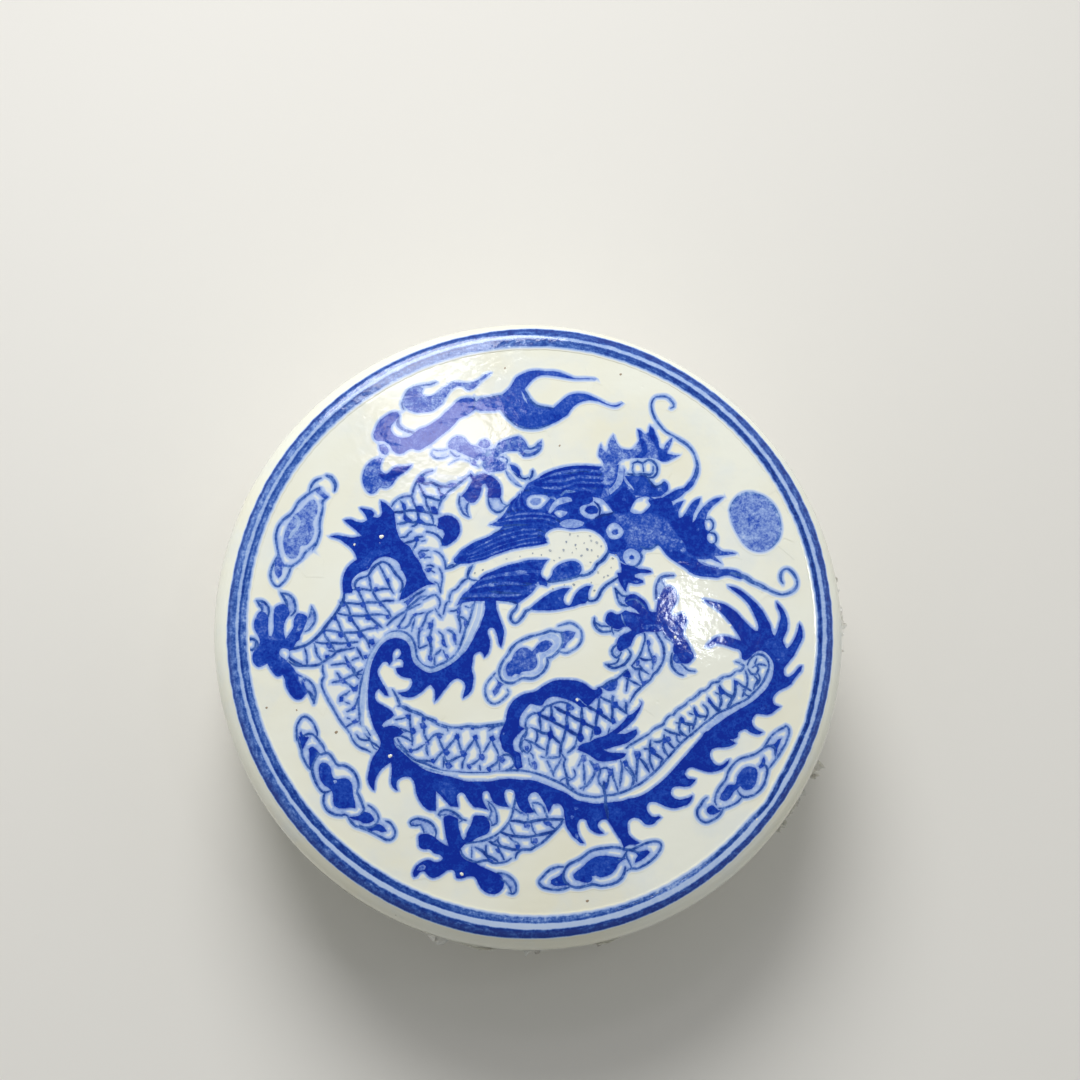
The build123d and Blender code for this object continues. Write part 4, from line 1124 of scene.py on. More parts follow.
     (72,0, 21,64, 7,8, 2,7, 5,5, 7,4, 8,2, 8,0, 6,-4, 2,-6, -2,-5, -3,-4, -5,-2, -8,-1, -10,-2, -10,-2),
     (92,75, 42,79, 8,1, 10,0),
     (70,30, 19,65, 9,-1, 12,2, 12,2, 12,4, 8,1, 7,4, 4,5, 4,5, 6,4, 5,7, 2,5),
     (86,0, 0,30, 7,6, 6,5, 7,5, 8,5, 8,3, 7,2, 8,0, -4,-5, -3,-5, -1,-6, 3,-5, 4,-1, 3,3, 2,5, 3,6, 4,5,
     6,4, 5,2, 5,0, -3,-6, -1,-6, 0,-6, -4,-4, -6,-1, -8,-3, -10,-2, -10,-2, -10,-1, -11,0, -8,0),
     (55,0, 36,44, 4,1, 1,-4, -3,-1),
     (55,0, 21,33, 6,1, -1,-4, -5,0),
     (78,32, 72,44, 3,-4, 5,0, 5,2, 3,5, 3,6, 5,6, 6,4, 6,4, 5,3),
     (70,35, -15,36, -2,-6, -5,-5, -2,-6, 2,-5, 4,-2, 5,3, 5,6, 4,6, 7,3),
     (75,30, 100,103, -4,-6, -5,-6, -6,-5, -3,-6, -5,-5, -7,-3, -5,-1),
     (60,30, 99,112, 1,-6, -2,-6),
     (66,26, 100,100, 4,3, 6,-1, 3,-5, 2,-6),
    ),
    "whiskers": (
     (80,95, 162,164, 11,4, 12,6, 10,6),
     (72,58, 184,173, 11,6, 9,9, 6,11, 2,9),
     (62,32, 207,192, 4,10, 1,8, -2,10, -4,9, -7,8, -9,6, -8,5),
     (60,26, 193,241, -11,7, -9,5, -7,7, -6,8, -4,8, -2,9, 1,7, 4,5, 6,1, 7,0, 6,-4, 4,-5, 0,-4, -4,-2),
     (80,115, 202,80, 10,-2, 11,-2, 11,-1, 10,0),
     (72,95, 225,76, 12,-1, 13,1, 10,-2, 8,-4),
     (66,50, 254,75, 10,-2, 8,-3, 9,-6, 9,-4, 10,-5),
     (62,32, 286,62, 8,-4, 8,-4, 8,-4, 10,-2, 10,3, 6,5, 2,7, -2,7, -4,6, -5,4, -5,0, -4,-4, -1,-6, 1,-5,
     2,-3),
    ),
    "mane": (
     (68,0, 24,92, -4,-4, -3,-6, -3,-6, 2,-6, 4,-4, 3,-4, -1,-4, -6,2, -5,-1, -4,-4, -4,-5, -6,-5, -7,-5,
     -6,-4, -8,2, -8,2, -10,0, -8,1, -8,-1, -8,0, -9,-1, -7,-1, -10,-4, 4,8, 4,6, 6,5, 6,6, 6,6, 6,4, 6,3,
     6,4, 6,3, 8,4, 9,3, 10,2, 10,3, 10,1, 10,0),
     (92,55, -48,75, 16,3, 16,5, 18,1, 11,-4),
     (95,60, -43,69, 18,-1, 17,-2, 14,3, 13,-3),
     (90,50, -47,64, 11,-5, 12,-1, 14,2, 13,2),
     (88,40, -70,59, 14,-4, 14,-4, 16,-2, 14,0),
     (88,35, -86,43, 14,0, 16,1, 16,-2, 14,-2, 10,-3),
     (50,0, -18,77, 6,3, 6,-4, 2,-5, -6,0, -6,2),
     (15,0, 7,62, 4,2, 2,-4, -3,-2, -3,2),
     (60,25, -71,86, -5,-5, -2,-7, 2,-6, 5,-2, 5,0),
     (70,0, 120,206, -7,6, -7,-2, -10,0, -10,0, -12,0, -12,1, -12,-1, -10,-2, -10,-4, -8,-4, -9,-4, -8,-4,
     -7,-4, -4,-6, -4,-7, -7,-7, -6,-5, -5,-6, -4,-7, -6,-7, -6,-4, -7,-3, 9,-2, 8,0, -6,-6, -10,-6, -10,-4,
     -10,-4, -8,-5, -8,-5, -6,-7, -4,-5, 3,-5, 13,0, 8,1, 7,2, 9,2, 6,3, 8,4, 8,3, 9,3, 10,1, 10,2, 10,1,
     10,2, 8,2, -3,5, 0,6, 5,5, 8,3, 9,0, 12,-2, 12,1, 11,-1, 10,-5, 7,-7, 4,-8, 2,-9, 6,-2, 6,-3, 4,-6,
     6,-4, 8,-3, 9,3, 3,8, -1,8, 5,4, 8,0, 8,4, 5,-4, 4,-6, 6,-6, 6,-4, 9,-6, 8,-5, 8,-4, 10,-1, 11,-2, 9,0,
     1,10, -9,2, -8,2, -8,3, -2,4, 8,-1, 9,1, 6,-3, 8,-3, -5,5, -5,5, 7,0, 10,1, 11,2, -9,2, -9,1, -7,6,
     -4,6, -3,9, -3,8, -3,10, 2,9, 5,7, 8,7, 7,6, -9,-1, -9,-5, -8,-7, -6,-8, -4,-8, -3,-3, 1,9, 3,7, 4,8,
     2,7, -7,-3, -6,-6, -5,-8, -5,-7, -4,-2, -1,8, 3,7, 4,7, -7,-1, -7,-5, -3,6, 4,7, -8,-2, -8,-1, -8,-1,
     -7,3, -9,0, -8,-1, -2,8, -8,7, -5,8),
     (97,0, 6,190, 10,3, 10,0, 9,-3, -2,-5, -9,-1, -10,0, -8,2),
     (90,0, 12,179, 8,0, 12,0, 10,-3, 4,3, 10,0, -6,4, -12,2, -14,-3, -10,0),
     (60,0, 26,200, 10,-1, 10,-4, 8,-3, 6,1, -4,6, -8,5, -10,1),
     (50,0, 56,182, 8,1, 8,-1, 5,-3, 3,-5, -7,3, -7,3),
     (50,0, 62,197, 8,4, 10,-1, 10,2, 8,-3, 8,-7, -6,-4, -10,2, -8,3, -10,1),
     (30,0, 84,189, 8,3, 10,-1, 6,3, -4,-6, -10,-2),
     (93,0, 94,186, -2,-8, -2,-6, -8,2, 2,8, 4,5),
     (5,0, 121,215, -2,-8, 0,-7, -1,-8, -4,-7, -5,-5, -7,-6, -2,6, 5,5, 4,6, 2,7, 1,8, 1,7, 1,5, 5,0),
     (40,0, 95,182, 3,0, 3,-6, -1,-3, -3,4),
     (97,0, 103,171, 7,4, 8,8, 5,-1, 6,-6, 4,-6, -3,-8, -4,-6, -3,-6, -11,1, -6,1, -3,8, -5,6),
     (60,0, 116,169, 5,1, 1,-3, -4,-1),
     (80,0, 133,173, -2,9, -6,8, -5,8, 10,0, 10,0, 8,-2, 5,-8, 7,-4, 6,2, 4,5, 4,-3, 1,-7, -4,-5, -6,-4,
     -9,-1, -10,1),
     (55,0, 140,181, 6,5, 6,-5, -3,-5, -6,0),
     (45,0, 162,182, 4,1, 2,-3, -3,-2, -3,1),
     (50,0, 123,184, 4,1, 1,-4, -4,-1),
     (90,30, 124,200, 10,-1, 9,0, 6,-4, 4,-6, 6,-5, 7,2, 3,4),
     (93,40, -33,143, 11,3, 12,0, 14,-2, 12,-3, 12,-4, 6,-2),
     (90,36, -28,152, 14,2, 16,-1, 16,-3, 14,-6, 6,-4),
     (90,34, -70,110, 14,6, 14,4, 16,2, 14,-2, 14,-5, 14,-2),
     (90,34, -46,124, 12,4, 14,1, 16,-2, 14,-4, 9,-5),
     (88,32, -32,135, 14,1, 14,-1, 12,-4, 12,-5),
     (55,26, -26,149, 16,1, 16,-2, 12,-3),
     (55,26, -54,112, 16,4, 16,1, 14,-4),
     (55,24, -32,131, 16,1, 14,-1, 12,-4),
     (90,30, -6,179, 10,1, 10,-2, 8,-3),
     (90,36, 32,203, 12,0, 12,-2, 12,2, 12,3),
     (90,34, 30,192, 12,0, 10,-4, 10,0, 10,-2, 12,-4),
     (88,30, 54,196, 10,-3, 12,-3, 10,-6),
     (88,30, 74,202, 12,-4, 12,6, 10,-1),
     (70,24, -96,86, -5,-2, -5,-4),
    ),
    "head": (
     (50,0, 87,223, 1,8, 2,7, 3,-7, 4,-3, 2,5, 1,7, 4,7, 2,3, 2,-6, 4,-8, 6,-4, 10,-1, 6,5, 4,6, 1,7, -3,7,
     4,0, 5,-5, 5,2, 2,9, 5,-5, 3,-7, 3,-7, 1,-8, 5,-2, 4,6, 8,8, -2,-8, -3,-7, -2,-6, 8,-2, 8,0, -7,-4,
     -6,-3, -5,-2, -6,1, -5,3, -9,1, -9,0, -11,0, -10,-1, -8,-3, -4,-6, -2,-8, -1,-8, -11,2, -8,10, 5,5,
     -1,6),
     (85,0, 137,256, 3,-3, 1,-7, 5,-6, 3,-7, -1,-7, -6,-5, -9,0, 6,5, 3,6, -2,8, -2,8),
     (85,0, 152,260, 4,-4, 3,-7, 3,-7, 2,-8, 5,-3, 5,2, -1,-7, 9,-2, -6,-6, -8,-1, -5,4, -1,8, -4,9, -5,7,
     -2,7),
     (25,0, 143,250, 1,-5, 5,-3, 1,6),
     (75,30, 130,213, 6,3, 7,-2, 7,4, 7,-3, 4,-6, 0,-7, -5,-6, -6,0),
     (60,25, 143,213, 1,-10),
     (60,30, 131,212, -1,-7, 4,-6, 7,1, 4,0, 7,-1, 4,4, 0,7),
    ),
    "snout": (
     (92,0, 70,139, 10,3, 10,3, 12,3, 8,-2, -4,-7, -8,-5, -3,-6, -1,-8, -6,6, -9,5, -8,2),
     (62,0, 106,150, 14,0, 14,-1, 16,-2, 14,-3, 10,-5, 6,-9, 8,-10, -1,-8, -7,-4, -10,4, -8,-1, -8,-3,
     -10,-1, -12,1, -10,4, -3,10, -1,10, -6,7),
     (50,0, 126,132, 12,4, 14,-2, 14,-6, 12,-6, 6,-6, -10,-1, -12,4, -12,-3, -12,0, -10,5),
     (90,0, 144,151, 2,8, 6,7, 8,3, 10,1, 9,-4, 3,-8, 5,-12, -3,-6, -12,4, -12,5),
     (97,0, 186,143, 8,3, 8,2, 4,-9, 10,5, 7,-6, -2,-8, 7,-6, -4,-8, 8,-4, 2,-8, -8,-6, -14,-2, -12,6,
     -4,10, -6,8, -7,9, -7,10),
     (93,0, 170,106, 6,-2, 10,-2, 8,-3, 10,-5, 8,-4, 10,-6, 12,-2, 2,-8, -14,0, -14,2, -12,7, -12,7, -8,6),
     (40,0, 190,104, 4,4, 4,-4, -3,-3),
     (50,0, 189,115, 3,2, 3,-3, -3,-2),
     (45,0, 211,131, 3,1, 0,-3, -3,0),
     (50,0, 176,104, 4,1, 1,-4, -4,0),
     (35,0, 213,90, 6,-4, 8,-3, 9,-2, -2,3, -8,2, -7,3),
     (2,0, 127,153, 2,6, 4,7, 6,4, 8,2, 5,-2, -2,-4, 3,-5, -4,-5, -5,-5, -6,-1, -6,0),
     (3,0, 222,142, -1,-6, 2,-6, 4,-2, 4,4, 0,7, -4,4),
     (3,0, 225,124, -1,-6, 4,-5, 5,0, 3,5, -2,6, -5,2),
     (70,24, 223,142, 5,1, 4,-5, -1,-7, -4,-3),
     (70,24, 227,126, 6,-1, 3,-5, -1,-6, -4,-2),
     (93,0, 99,114, 4,5, 7,-2, 9,3, 4,-8, -3,-7, -5,1, -2,-5, -7,1, -5,2),
     (3,0, 97,127, 1,6, 5,5, 7,0, 6,-5, 3,-6, -3,-6, -6,-3, -7,0, -4,4),
     (70,0, 104,127, 3,3, 4,0, 1,-5, -3,-2, -4,1),
     (3,0, 118,95, 2,7, 6,4, 6,-1, 6,-4, 2,-7, -3,-7, -7,-3, -7,2, -3,4),
     (85,0, 126,96, 3,2, 3,-2, 0,-3, -3,-1, -3,1),
     (70,26, 138,103, 4,-6, -2,-7, -4,-5, -6,-2, -6,1),
     (74,30, 140,109, 6,-3, 7,0, 6,4, 4,1),
    ),
    "eye": (
     (4,0, -4,165, 3,7, 8,2, 9,0, 7,-2, 3,-3, -4,-5, -5,-5, -6,-3, -7,0, -6,3),
     (30,0, 0,165, 3,4, 6,1, 5,-1, 0,-5, -4,-3, -6,0),
     (3,0, 23,151, 3,7, 4,6, 6,5, 8,2, 8,-1, 2,-4, -7,-2, -7,-2, -6,-3, -4,-5, -4,-4),
     (3,0, 31,151, 4,3, 6,0, 7,-2, -3,-4, -6,-3, -5,2),
     (3,0, 38,138, 6,4, 8,1, 9,-1, 8,-3, -2,-4, -9,-3, -10,0, -7,2),
     (30,40, 40,173, 5,5, 7,0, 7,-2),
     (30,30, 26,171, 6,-2, 2,-3),
     (95,0, 42,173, 10,3, 10,2, 10,1, 8,-4, 1,-5, -1,-5, 6,-3, -8,3, -8,-2, -6,-4, -3,-7, 5,-5, 7,-4, -5,-2,
     -9,3, -9,1, -1,7, -6,5, -3,3, 8,2, 7,4, -2,5),
     (1,0, 80,171, 6,-1, 6,-2, 5,-5, 5,-6, 4,-6, -7,-2, -9,-1, -8,-4, -8,0, -6,3, -4,5, 0,6, 5,3, 6,1, 5,4),
     (95,0, 70,154, 2,4, 5,2, 6,0, 4,-5, -1,-4, -5,-1, -7,0),
     (60,0, 75,154, 4,2, 3,-2, -2,-2, -4,0),
     (90,30, 82,165, 5,-5, 2,-6, -1,-5),
     (97,34, 107,152, -7,-3, -8,-1, -9,-4),
    ),
    "beard": (
     (95,0, 115,88, 1,-6, 0,-6, -5,-1, 1,-6, 2,-6, 3,-5, 3,-5, 2,-1, 1,6, 2,5, 5,-1, 5,-1, 5,1, 4,1, -1,3,
     -5,2, -5,2, 0,3, 6,2, 7,0, 8,1, -1,2, -7,2, -7,0, -6,3, -6,1, -7,2),
     (50,0, 118,66, 4,0, -1,-5, -2,-2),
     (40,0, 131,65, 5,1, 3,-2, -5,-1),
    ),
    "left_claw": (
     (72,0, -296,-15, 4,6, 4,7, 3,7, 3,7, 2,6, -3,4, -5,2, -5,0, -3,-4, -2,-6, 0,-7, -3,-5, -4,-6, -3,-4,
     -2,8, 0,9, 3,8, 4,6, 0,6, -3,5, -6,2, -6,-2, -4,-4, -1,-7, 0,-8, 0,-8, -1,-7, -2,-5, -3,1, -1,7, 0,8,
     0,9, -4,5, -5,2, -4,-3, -3,-6, -2,-7, 1,-7, 3,-6, 3,-6, 0,-6, -4,-5, -4,-7, -1,-7, 2,-6, 6,-5, 6,2,
     5,3, 3,-6, 5,-7, 5,-4, 6,2, 3,-5, 1,-8, 3,-7, 5,-7, 6,-4, 6,1, 5,5, 4,4, -3,5, 1,6, -5,8, -8,5, -4,6,
     -4,5, -5,4, 4,6, 0,6, 4,3, 2,3),
     (86,0, -309,-9, -5,-1, -7,0, -7,-1, -6,-2, -6,-4, -6,-7, -3,-8, 4,-8, 6,-1, 7,4, 5,-3, 5,-10, 6,-3,
     7,0, 3,-7, 5,-16, 7,-6, 7,2, 1,7, -7,7, -3,10, -6,10, -8,6, -6,4, -3,9, 3,8, 7,1, 8,-1, 5,3, -6,4),
     (97,0, -306,-64, 3,-11, 7,-8, 7,1, 5,5, -4,5, -4,9, -5,4),
     (97,0, -295,0, 4,1, 2,-4, -2,-7, -5,-2),
     (40,0, -292,9, 3,1, 1,-5, -3,-3, -3,2),
     (35,0, -292,-55, 5,-3, 3,-4, -4,-4, -3,5),
     (0,0, -316,-26, 2,5, 5,1, 4,-1, 2,-4, -1,-6, -3,-4, -3,2, -4,3),
     (20,0, -302,24, 5,4, 0,8, -4,7, -5,3, 0,-11),
     (62,32, -301,21, 5,6, 0,8, -2,7, -5,5, -5,2, -6,1),
     (70,40, -314,50, 4,-6, 3,-6, 1,-5),
     (20,0, -332,24, 2,6, -4,6, -5,2, 1,-10),
     (62,32, -330,20, 1,9, -2,5, -4,4, -5,2, -5,0),
     (66,36, -344,40, 3,-5, 3,-4, 0,-5),
     (18,0, -282,4, 6,6, 4,8, -2,8, -4,-7, -3,-4),
     (60,32, -283,1, 5,3, 4,5, 3,6, 0,7, -2,6, -2,5),
     (60,30, -275,32, -1,-6, -2,-6, -3,-4),
     (68,34, -359,-17, 1,5, 6,4, 6,-2, 3,-4, 0,-5),
     (68,40, -356,-21, 6,-1, 4,4, 0,5),
     (15,0, -285,-63, 5,2, 5,-5, 3,-8, -1,-7, -4,6, -5,4),
     (66,32, -289,-55, 7,-4, 6,-4, 4,-7, 2,-7, -1,-7, -2,-6),
     (70,45, -272,-89, -2,7, -3,5, -4,3),
    ),
    "bottom_claw": (
     (97,0, -120,-290, 7,1, 4,4, -4,4, -7,2, -6,5, -7,0, -6,3, -1,7, 0,7, 6,3, 8,-1, 7,-4, 6,-5, 6,-4, 5,-2,
     -2,7, -2,8, -1,8, -1,7, 0,7, 6,3, 7,-2, 5,-4, 0,-7, 2,-8, 2,-7, 3,-4, 3,4, 1,5, 2,5, 3,5, 2,6, 2,5,
     8,1, 6,-1, 4,-4, 2,-6, 0,-6, -3,-6, -7,-3, -7,-3, -6,-4, -7,-2, -4,-4, -4,-6, 3,-7, 5,-4, 7,-3, 5,-1,
     6,-4, 7,-3, 7,-3, 6,-3, 6,-2, 3,-5, 1,-7, -3,-7, -7,-5, -8,0, -7,3, -5,5, -3,6, -3,6, -4,2, -6,0,
     -5,-2, -6,-1, -4,2, -1,6, -3,3, -6,0, -6,-4, -6,-4, -7,-2, -6,3, -4,5, -5,0, -3,-2, -2,-4, -4,-1, -1,5,
     2,6, 4,5, 6,4, 7,2, 4,-1),
     (5,0, -142,-300, 3,5, 5,2, 3,-2, -1,-4, -6,-2),
     (55,0, -53,-323, 4,1, 3,-3, -3,-3, -4,2),
     (4,0, -88,-304, 3,0, 2,-1, -2,-1, -3,0),
     (20,0, -150,-242, 5,5, 7,1, 8,-2, 7,-5, 4,-7, -3,-5, -9,2, -4,6, -4,4, -7,0),
     (20,0, -115,-230, 6,5, 7,0, 7,-3, 6,-5, 3,-4, -7,3, -7,3, -7,-1),
     (16,0, -52,-215, 6,-4, 4,-7, 1,-8, -2,-7, -6,-3, -2,7, -1,5, 2,6, 0,6),
     (20,0, -39,-305, 7,0, 7,-4, 5,-6, 2,-7, -2,-6, -4,4, -3,6, -5,5, -3,4),
     (70,30, -149,-244, -2,4, 3,3, 6,2, 7,-1, 6,-2, 6,-4, 4,-6, 1,-6, -1,-5),
     (66,26, -150,-243, 6,-1, 6,1, 3,-4, 2,-6),
     (70,30, -113,-232, -2,2, 3,4, 6,2, 6,-1, 6,-3, 5,-4, 4,-4, 5,-1),
     (50,22, -114,-231, 5,1, 4,0),
     (55,24, -84,-237, -5,-3, 0,-5),
     (66,26, -53,-213, 5,-4, 4,-5, 2,-6, 1,-7, -1,-6, -6,-3),
     (66,26, -52,-216, 2,-5, 2,-6, -2,-5, -3,-5),
     (55,24, -54,-232, 4,-4, 3,-6),
     (70,30, -41,-304, 6,0, 6,-2, 6,-4, 5,-6, 1,-6, -1,-6, -4,-2, -4,1),
     (68,28, -37,-310, 5,-4, 4,-4, 3,-4, 2,-6),
    ),
    "middle_claw": (
     (95,0, 160,26, -5,0, -4,2, -2,6, -4,6, -5,4, -6,4, -7,0, -5,-3, -2,-5, 3,-5, 6,-3, 6,-4, 4,-5, -6,2,
     -6,1, -6,2, -6,-4, -5,-1, -7,3, -5,-3, -2,-5, 0,-5, 4,-4, 5,-3, 7,-2, 7,3, 6,0, 4,-4, -5,-3, -5,-2,
     -5,-3, -3,-5, -1,-6, 1,-5, 4,-3, 5,3, 5,2, 4,5, 2,6, 4,5, 5,2, 6,2, 8,0, 8,0, 7,1, 4,-6, 5,-5, 4,-5,
     -1,-8, 3,-6, 5,-6, 4,-5, 7,0, 5,4, 3,5, -3,7, -4,8, -4,6, -3,6, 0,6, 2,5, 2,6, -1,7, -5,3, -6,-3, -5,0,
     -3,4, 2,6, 4,5, 2,7, -2,8, -5,6, -6,1, -4,-3, -3,-6, -3,-6, -2,-7),
     (40,0, 142,5, 4,4, 7,1, 9,0, 6,-3, 2,-3, -7,1, -4,3, -6,0, -4,-4),
     (50,0, 180,4, 4,1, 4,4, -4,-1, -4,-1),
     (60,0, 182,-27, 4,-1, 3,-6, 4,-5, -7,0, -5,5),
     (72,0, 120,22, 12,0, 8,-3, -4,-5, -12,-1, -7,3),
     (35,22, 116,23, 2,-7, 3,-7),
     (50,24, 122,39, 6,3, 7,-1, 7,-5, 4,-6),
     (78,34, 182,72, -6,0, -6,-1, -5,-3, -3,-5, -2,-7, 0,-7, 0,-7),
     (50,26, 167,66, 2,-4, 2,-4),
     (20,0, 162,62, 4,3, 2,-5, -2,-6, -2,-7, -3,5),
     (74,34, 108,56, 2,-7, 2,-7, 3,-6, 5,-2, 5,-1),
     (74,30, 109,55, 4,-5, 5,-4, 6,0),
     (20,0, 111,49, 4,-3, 4,-3, 0,-6, -4,1, -2,4),
     (76,34, 82,18, 0,-6, 2,-5, 4,-4, 5,-2, 6,0, 5,1),
     (72,30, 83,13, 4,-3, 4,-2, 6,0, 4,-1),
     (70,28, 104,8, 0,-5, 2,-5),
     (50,24, 107,3, 5,-1, 5,3),
     (74,32, 111,-15, -5,-4, -2,-5, 2,-5, 4,-3, 4,3, 2,4),
     (20,0, 107,-22, 3,2, 3,-4, -1,-4, -4,0),
     (76,34, 96,-40, 5,-3, 6,-2, 7,2, 6,3, 5,6, 3,6, -2,5, -3,3),
     (70,28, 99,-40, 6,0, 5,2, 3,5, -1,4),
     (76,34, 180,-26, -1,-8, 1,-8, 4,-6, 5,-4, 5,-2),
     (72,28, 192,-40, 4,-4, 5,-4, 8,-1),
     (16,0, 181,-36, 6,-4, 5,-3, 6,-5, 4,-4, -8,-1, -7,4, -5,6),
    ),
    "near_claw": (
     (95,0, -86,172, 3,3, 4,5, 4,7, 3,6, -4,5, 1,4, 5,-5, 5,2, 6,2, 7,-2, 6,-3, 5,-4, 4,-6, 1,-6, 0,-6,
     -1,-4, -9,0, -6,0, -1,6, 1,6, -4,6, -4,-2, -1,-6, -2,-7, -3,-5, -4,-4, -6,0, -4,3, -3,4),
     (15,0, -87,169, -1,-7, 4,-8, 6,-6, -1,6, 1,9, -4,5),
     (15,0, -51,169, 1,-7, 4,-6, 6,-2, 6,2, 4,5, -4,2, -3,6),
     (74,28, -88,172, -1,-8, 2,-7, 4,-7, 7,-4),
     (70,26, -77,148, -2,5, 0,7, 3,5),
     (74,28, -52,171, 1,-9, 4,-7, 7,-3, 6,2, 4,5, 6,3),
     (60,24, -37,170, 3,-7, 5,-2),
     (66,28, -74,200, -10,-8, -9,-7, -9,-7, -7,-7, -4,-8, -3,-9),
     (95,0, -115,144, 6,3, 7,1, 7,-3, 5,-5, 2,-7, 0,-6, -3,-7, -5,-5, -6,-4, -6,-2, -3,3, 1,6, 3,6, -2,5,
     -5,2, -3,2, 2,6),
    ),
    "pearl": (
     (42,0, 279,176, 15,-3, 12,-11, 8,-14, 4,-15, -3,-14, -8,-11, -11,-6, -13,1, -11,7, -8,11, -6,11, -4,11,
     -1,11, 4,10, 9,9),
     (50,30, 253,154, 4,10, 9,9, 13,3, 15,-4, 12,-10, 8,-14, 3,-15, -3,-14, -8,-11),
     (50,0, 278,147, 7,3, 8,-4, 1,-8, -6,-8, -8,2, -4,7),
    ),
}

# Locks of hair: how many hairs, the dark ones' ink and width, and the lock's first and last hair
locks = {
    "mane": (
     (7,95,46, 13,70, -17,9, -20,2, -22,-5, -21,-11, 65,-18, -17,-4, -19,-1, -22,0, -23,0),
     (3,98,50, 22,65, -14,4, -18,1, -20,-4, 40,22, -16,-3, -18,-3, -20,-5),
     (5,96,44, 36,135, -16,5, -18,1, -20,-2, -18,-1, -12,-2, 88,10, -14,6, -16,2, -17,0, -13,-3, -12,-6),
     (9,95,46, 20,113, -16,-1, -20,-4, -22,-7, -24,-8, -26,-3, 114,42, -18,2, -22,-2, -24,-7, -25,-12,
     -28,-17),
     (7,96,50, 1,180, 19,-1, 18,-1, 16,8, 18,0, 16,-1, -74,11, 18,8, 20,4, 20,1, 16,-2, 16,0),
     (5,94,28, -9,180, -1,-10, 3,-9, 8,-7, -17,16, -7,-7, -2,-7, 5,-7),
    ),
}

outline_step = 0.28  # between the points of an outline, in millimetres
sharp_turn = 70  # degrees, past which a line has a corner
landing = 0.7  # how far from its ends a stroke is thinner
fine_brush = 50  # the widest mark of the fine brush, in hundredths of a millimetre
bleed = 0.46  # how far the cobalt has run into the glaze around a mark
bleed_share = 0.42  # and how strong it is at the mark's edge
brush = np.random.default_rng(11)


def smooth(points, closed):
    """A smooth line through the given points, with corners where it turns sharply."""
    count = len(points)
    sharp = []
    for i in range(count):
        before = points[i] - points[i - 1]
        after = points[(i + 1) % count] - points[i]
        size = max(hypot(*before) * hypot(*after), 1e-9)
        turn_by = degrees(acos(max(-1, min(1, float(before @ after) / size))))
        sharp.append(turn_by > sharp_turn or (not closed and i in (0, count - 1)))
    line = []
    for i in range(count if closed else count - 1):
        b, c = points[i], points[(i + 1) % count]
        a = b if sharp[i] else points[i - 1]
        d = c if sharp[(i + 1) % count] else points[(i + 2) % count]
        for t in np.arange(0, 1, 1 / max(1, round(hypot(*(c - b)) / outline_step))):
            line.append(0.5 * (2 * b + (c - a) * t + (2 * a - 5 * b + 4 * c - d) * t**2
                               + (3 * b - a - 3 * c + d) * t**3))
    if not closed:
        line.append(points[-1])
    return np.array(line)


def stroke(line, width):
    """The outline of a brush stroke along a line, thinner where the brush lands and lifts."""
    along = np.gradient(line, axis=0)
    along /= np.maximum(np.hypot(along[:, 0], along[:, 1]), 1e-9)[:, None]
    gone = np.concatenate([[0], np.cumsum(np.hypot(*np.diff(line, axis=0).T))])
    ends = np.clip(np.minimum(gone, gone[-1] - gone) / landing, 0, 1)
    wave = np.sin(gone * brush.uniform(1.2, 2.6) + brush.uniform(0, 6)) * brush.uniform(0.05, 0.16)
    half = 0.5 * width * (0.6 + 0.4 * ends) * (1 + wave)
    side = np.stack([-along[:, 1], along[:, 0]], 1) * half[:, None]
    tip_a = line[:1] - along[:1] * 0.35 * width
    tip_b = line[-1:] + along[-1:] * 0.35 * width
    return np.concatenate([tip_a, line + side, tip_b, (line - side)[::-1]])


def inside(spots, outline):
    """Which of these points an outline goes round."""
    low, high = outline.min(0), outline.max(0)
    near = np.flatnonzero(((spots >= low) & (spots <= high)).all(1))
    wind = np.zeros(len(near), int)
    x, y = spots[near, 0], spots[near, 1]
    for (ax, ay), (bx, by) in zip(outline, np.roll(outline, -1, 0)):
        crossing = (bx - ax) * (y - ay) - (by - ay) * (x - ax)
        wind += (ay <= y) & (by > y) & (crossing > 0)
        wind -= (ay > y) & (by <= y) & (crossing < 0)
    return near[wind != 0]


def read_points(flat):
    """The points, in millimetres, of a mark's steps."""
    return np.cumsum(np.array(flat, float).reshape(-1, 2), 0) / 10


outlines = []
penned = []  # 1 for a mark drawn with the fine brush, whose thin line fires a greyer blue
for motif, marks in picture.items():
    for ink, width, *flat in marks:
        outline = smooth(read_points(flat), width == 0)
        if width:
            outline = stroke(outline, width / 100)
        outlines.append((motif, ink / 100, outline))
        penned.append(float(0 < width <= fine_brush))
    # The hairs of a lock run from its first line over to its last, dark and thin pale ones in turn
    for hairs, ink, width, *flat in locks.get(motif, ()):
        first, last = np.split(read_points(flat), 2)
        for hair in range(hairs):
            share = np.clip((hair + brush.uniform(-0.25, 0.25)) / (hairs - 1), 0, 1)
            line = smooth(first * (1 - share) + last * share, False)
            start, end = (brush.uniform(0, 0.16, 2) * len(line)).astype(int)
            line = line[start:len(line) - end]
            pale = hair % 2 == 1
            hair_ink = brush.uniform(0.38, 0.56) if pale else ink / 100 * brush.uniform(0.9, 1.03)
            hair_width = width / 100 * brush.uniform(0.7, 1.3) * (0.85 if pale else 1)
            outlines.append((motif, min(1, hair_ink), stroke(line, hair_width)))
            penned.append(0.0)


def top_marks(spots):
    """The number of the last mark painted over each point, or -1."""
    top = np.full(len(spots), -1)
    for number, (_, _, outline) in enumerate(outlines):
        top[inside(spots, outline)] = number
    return top


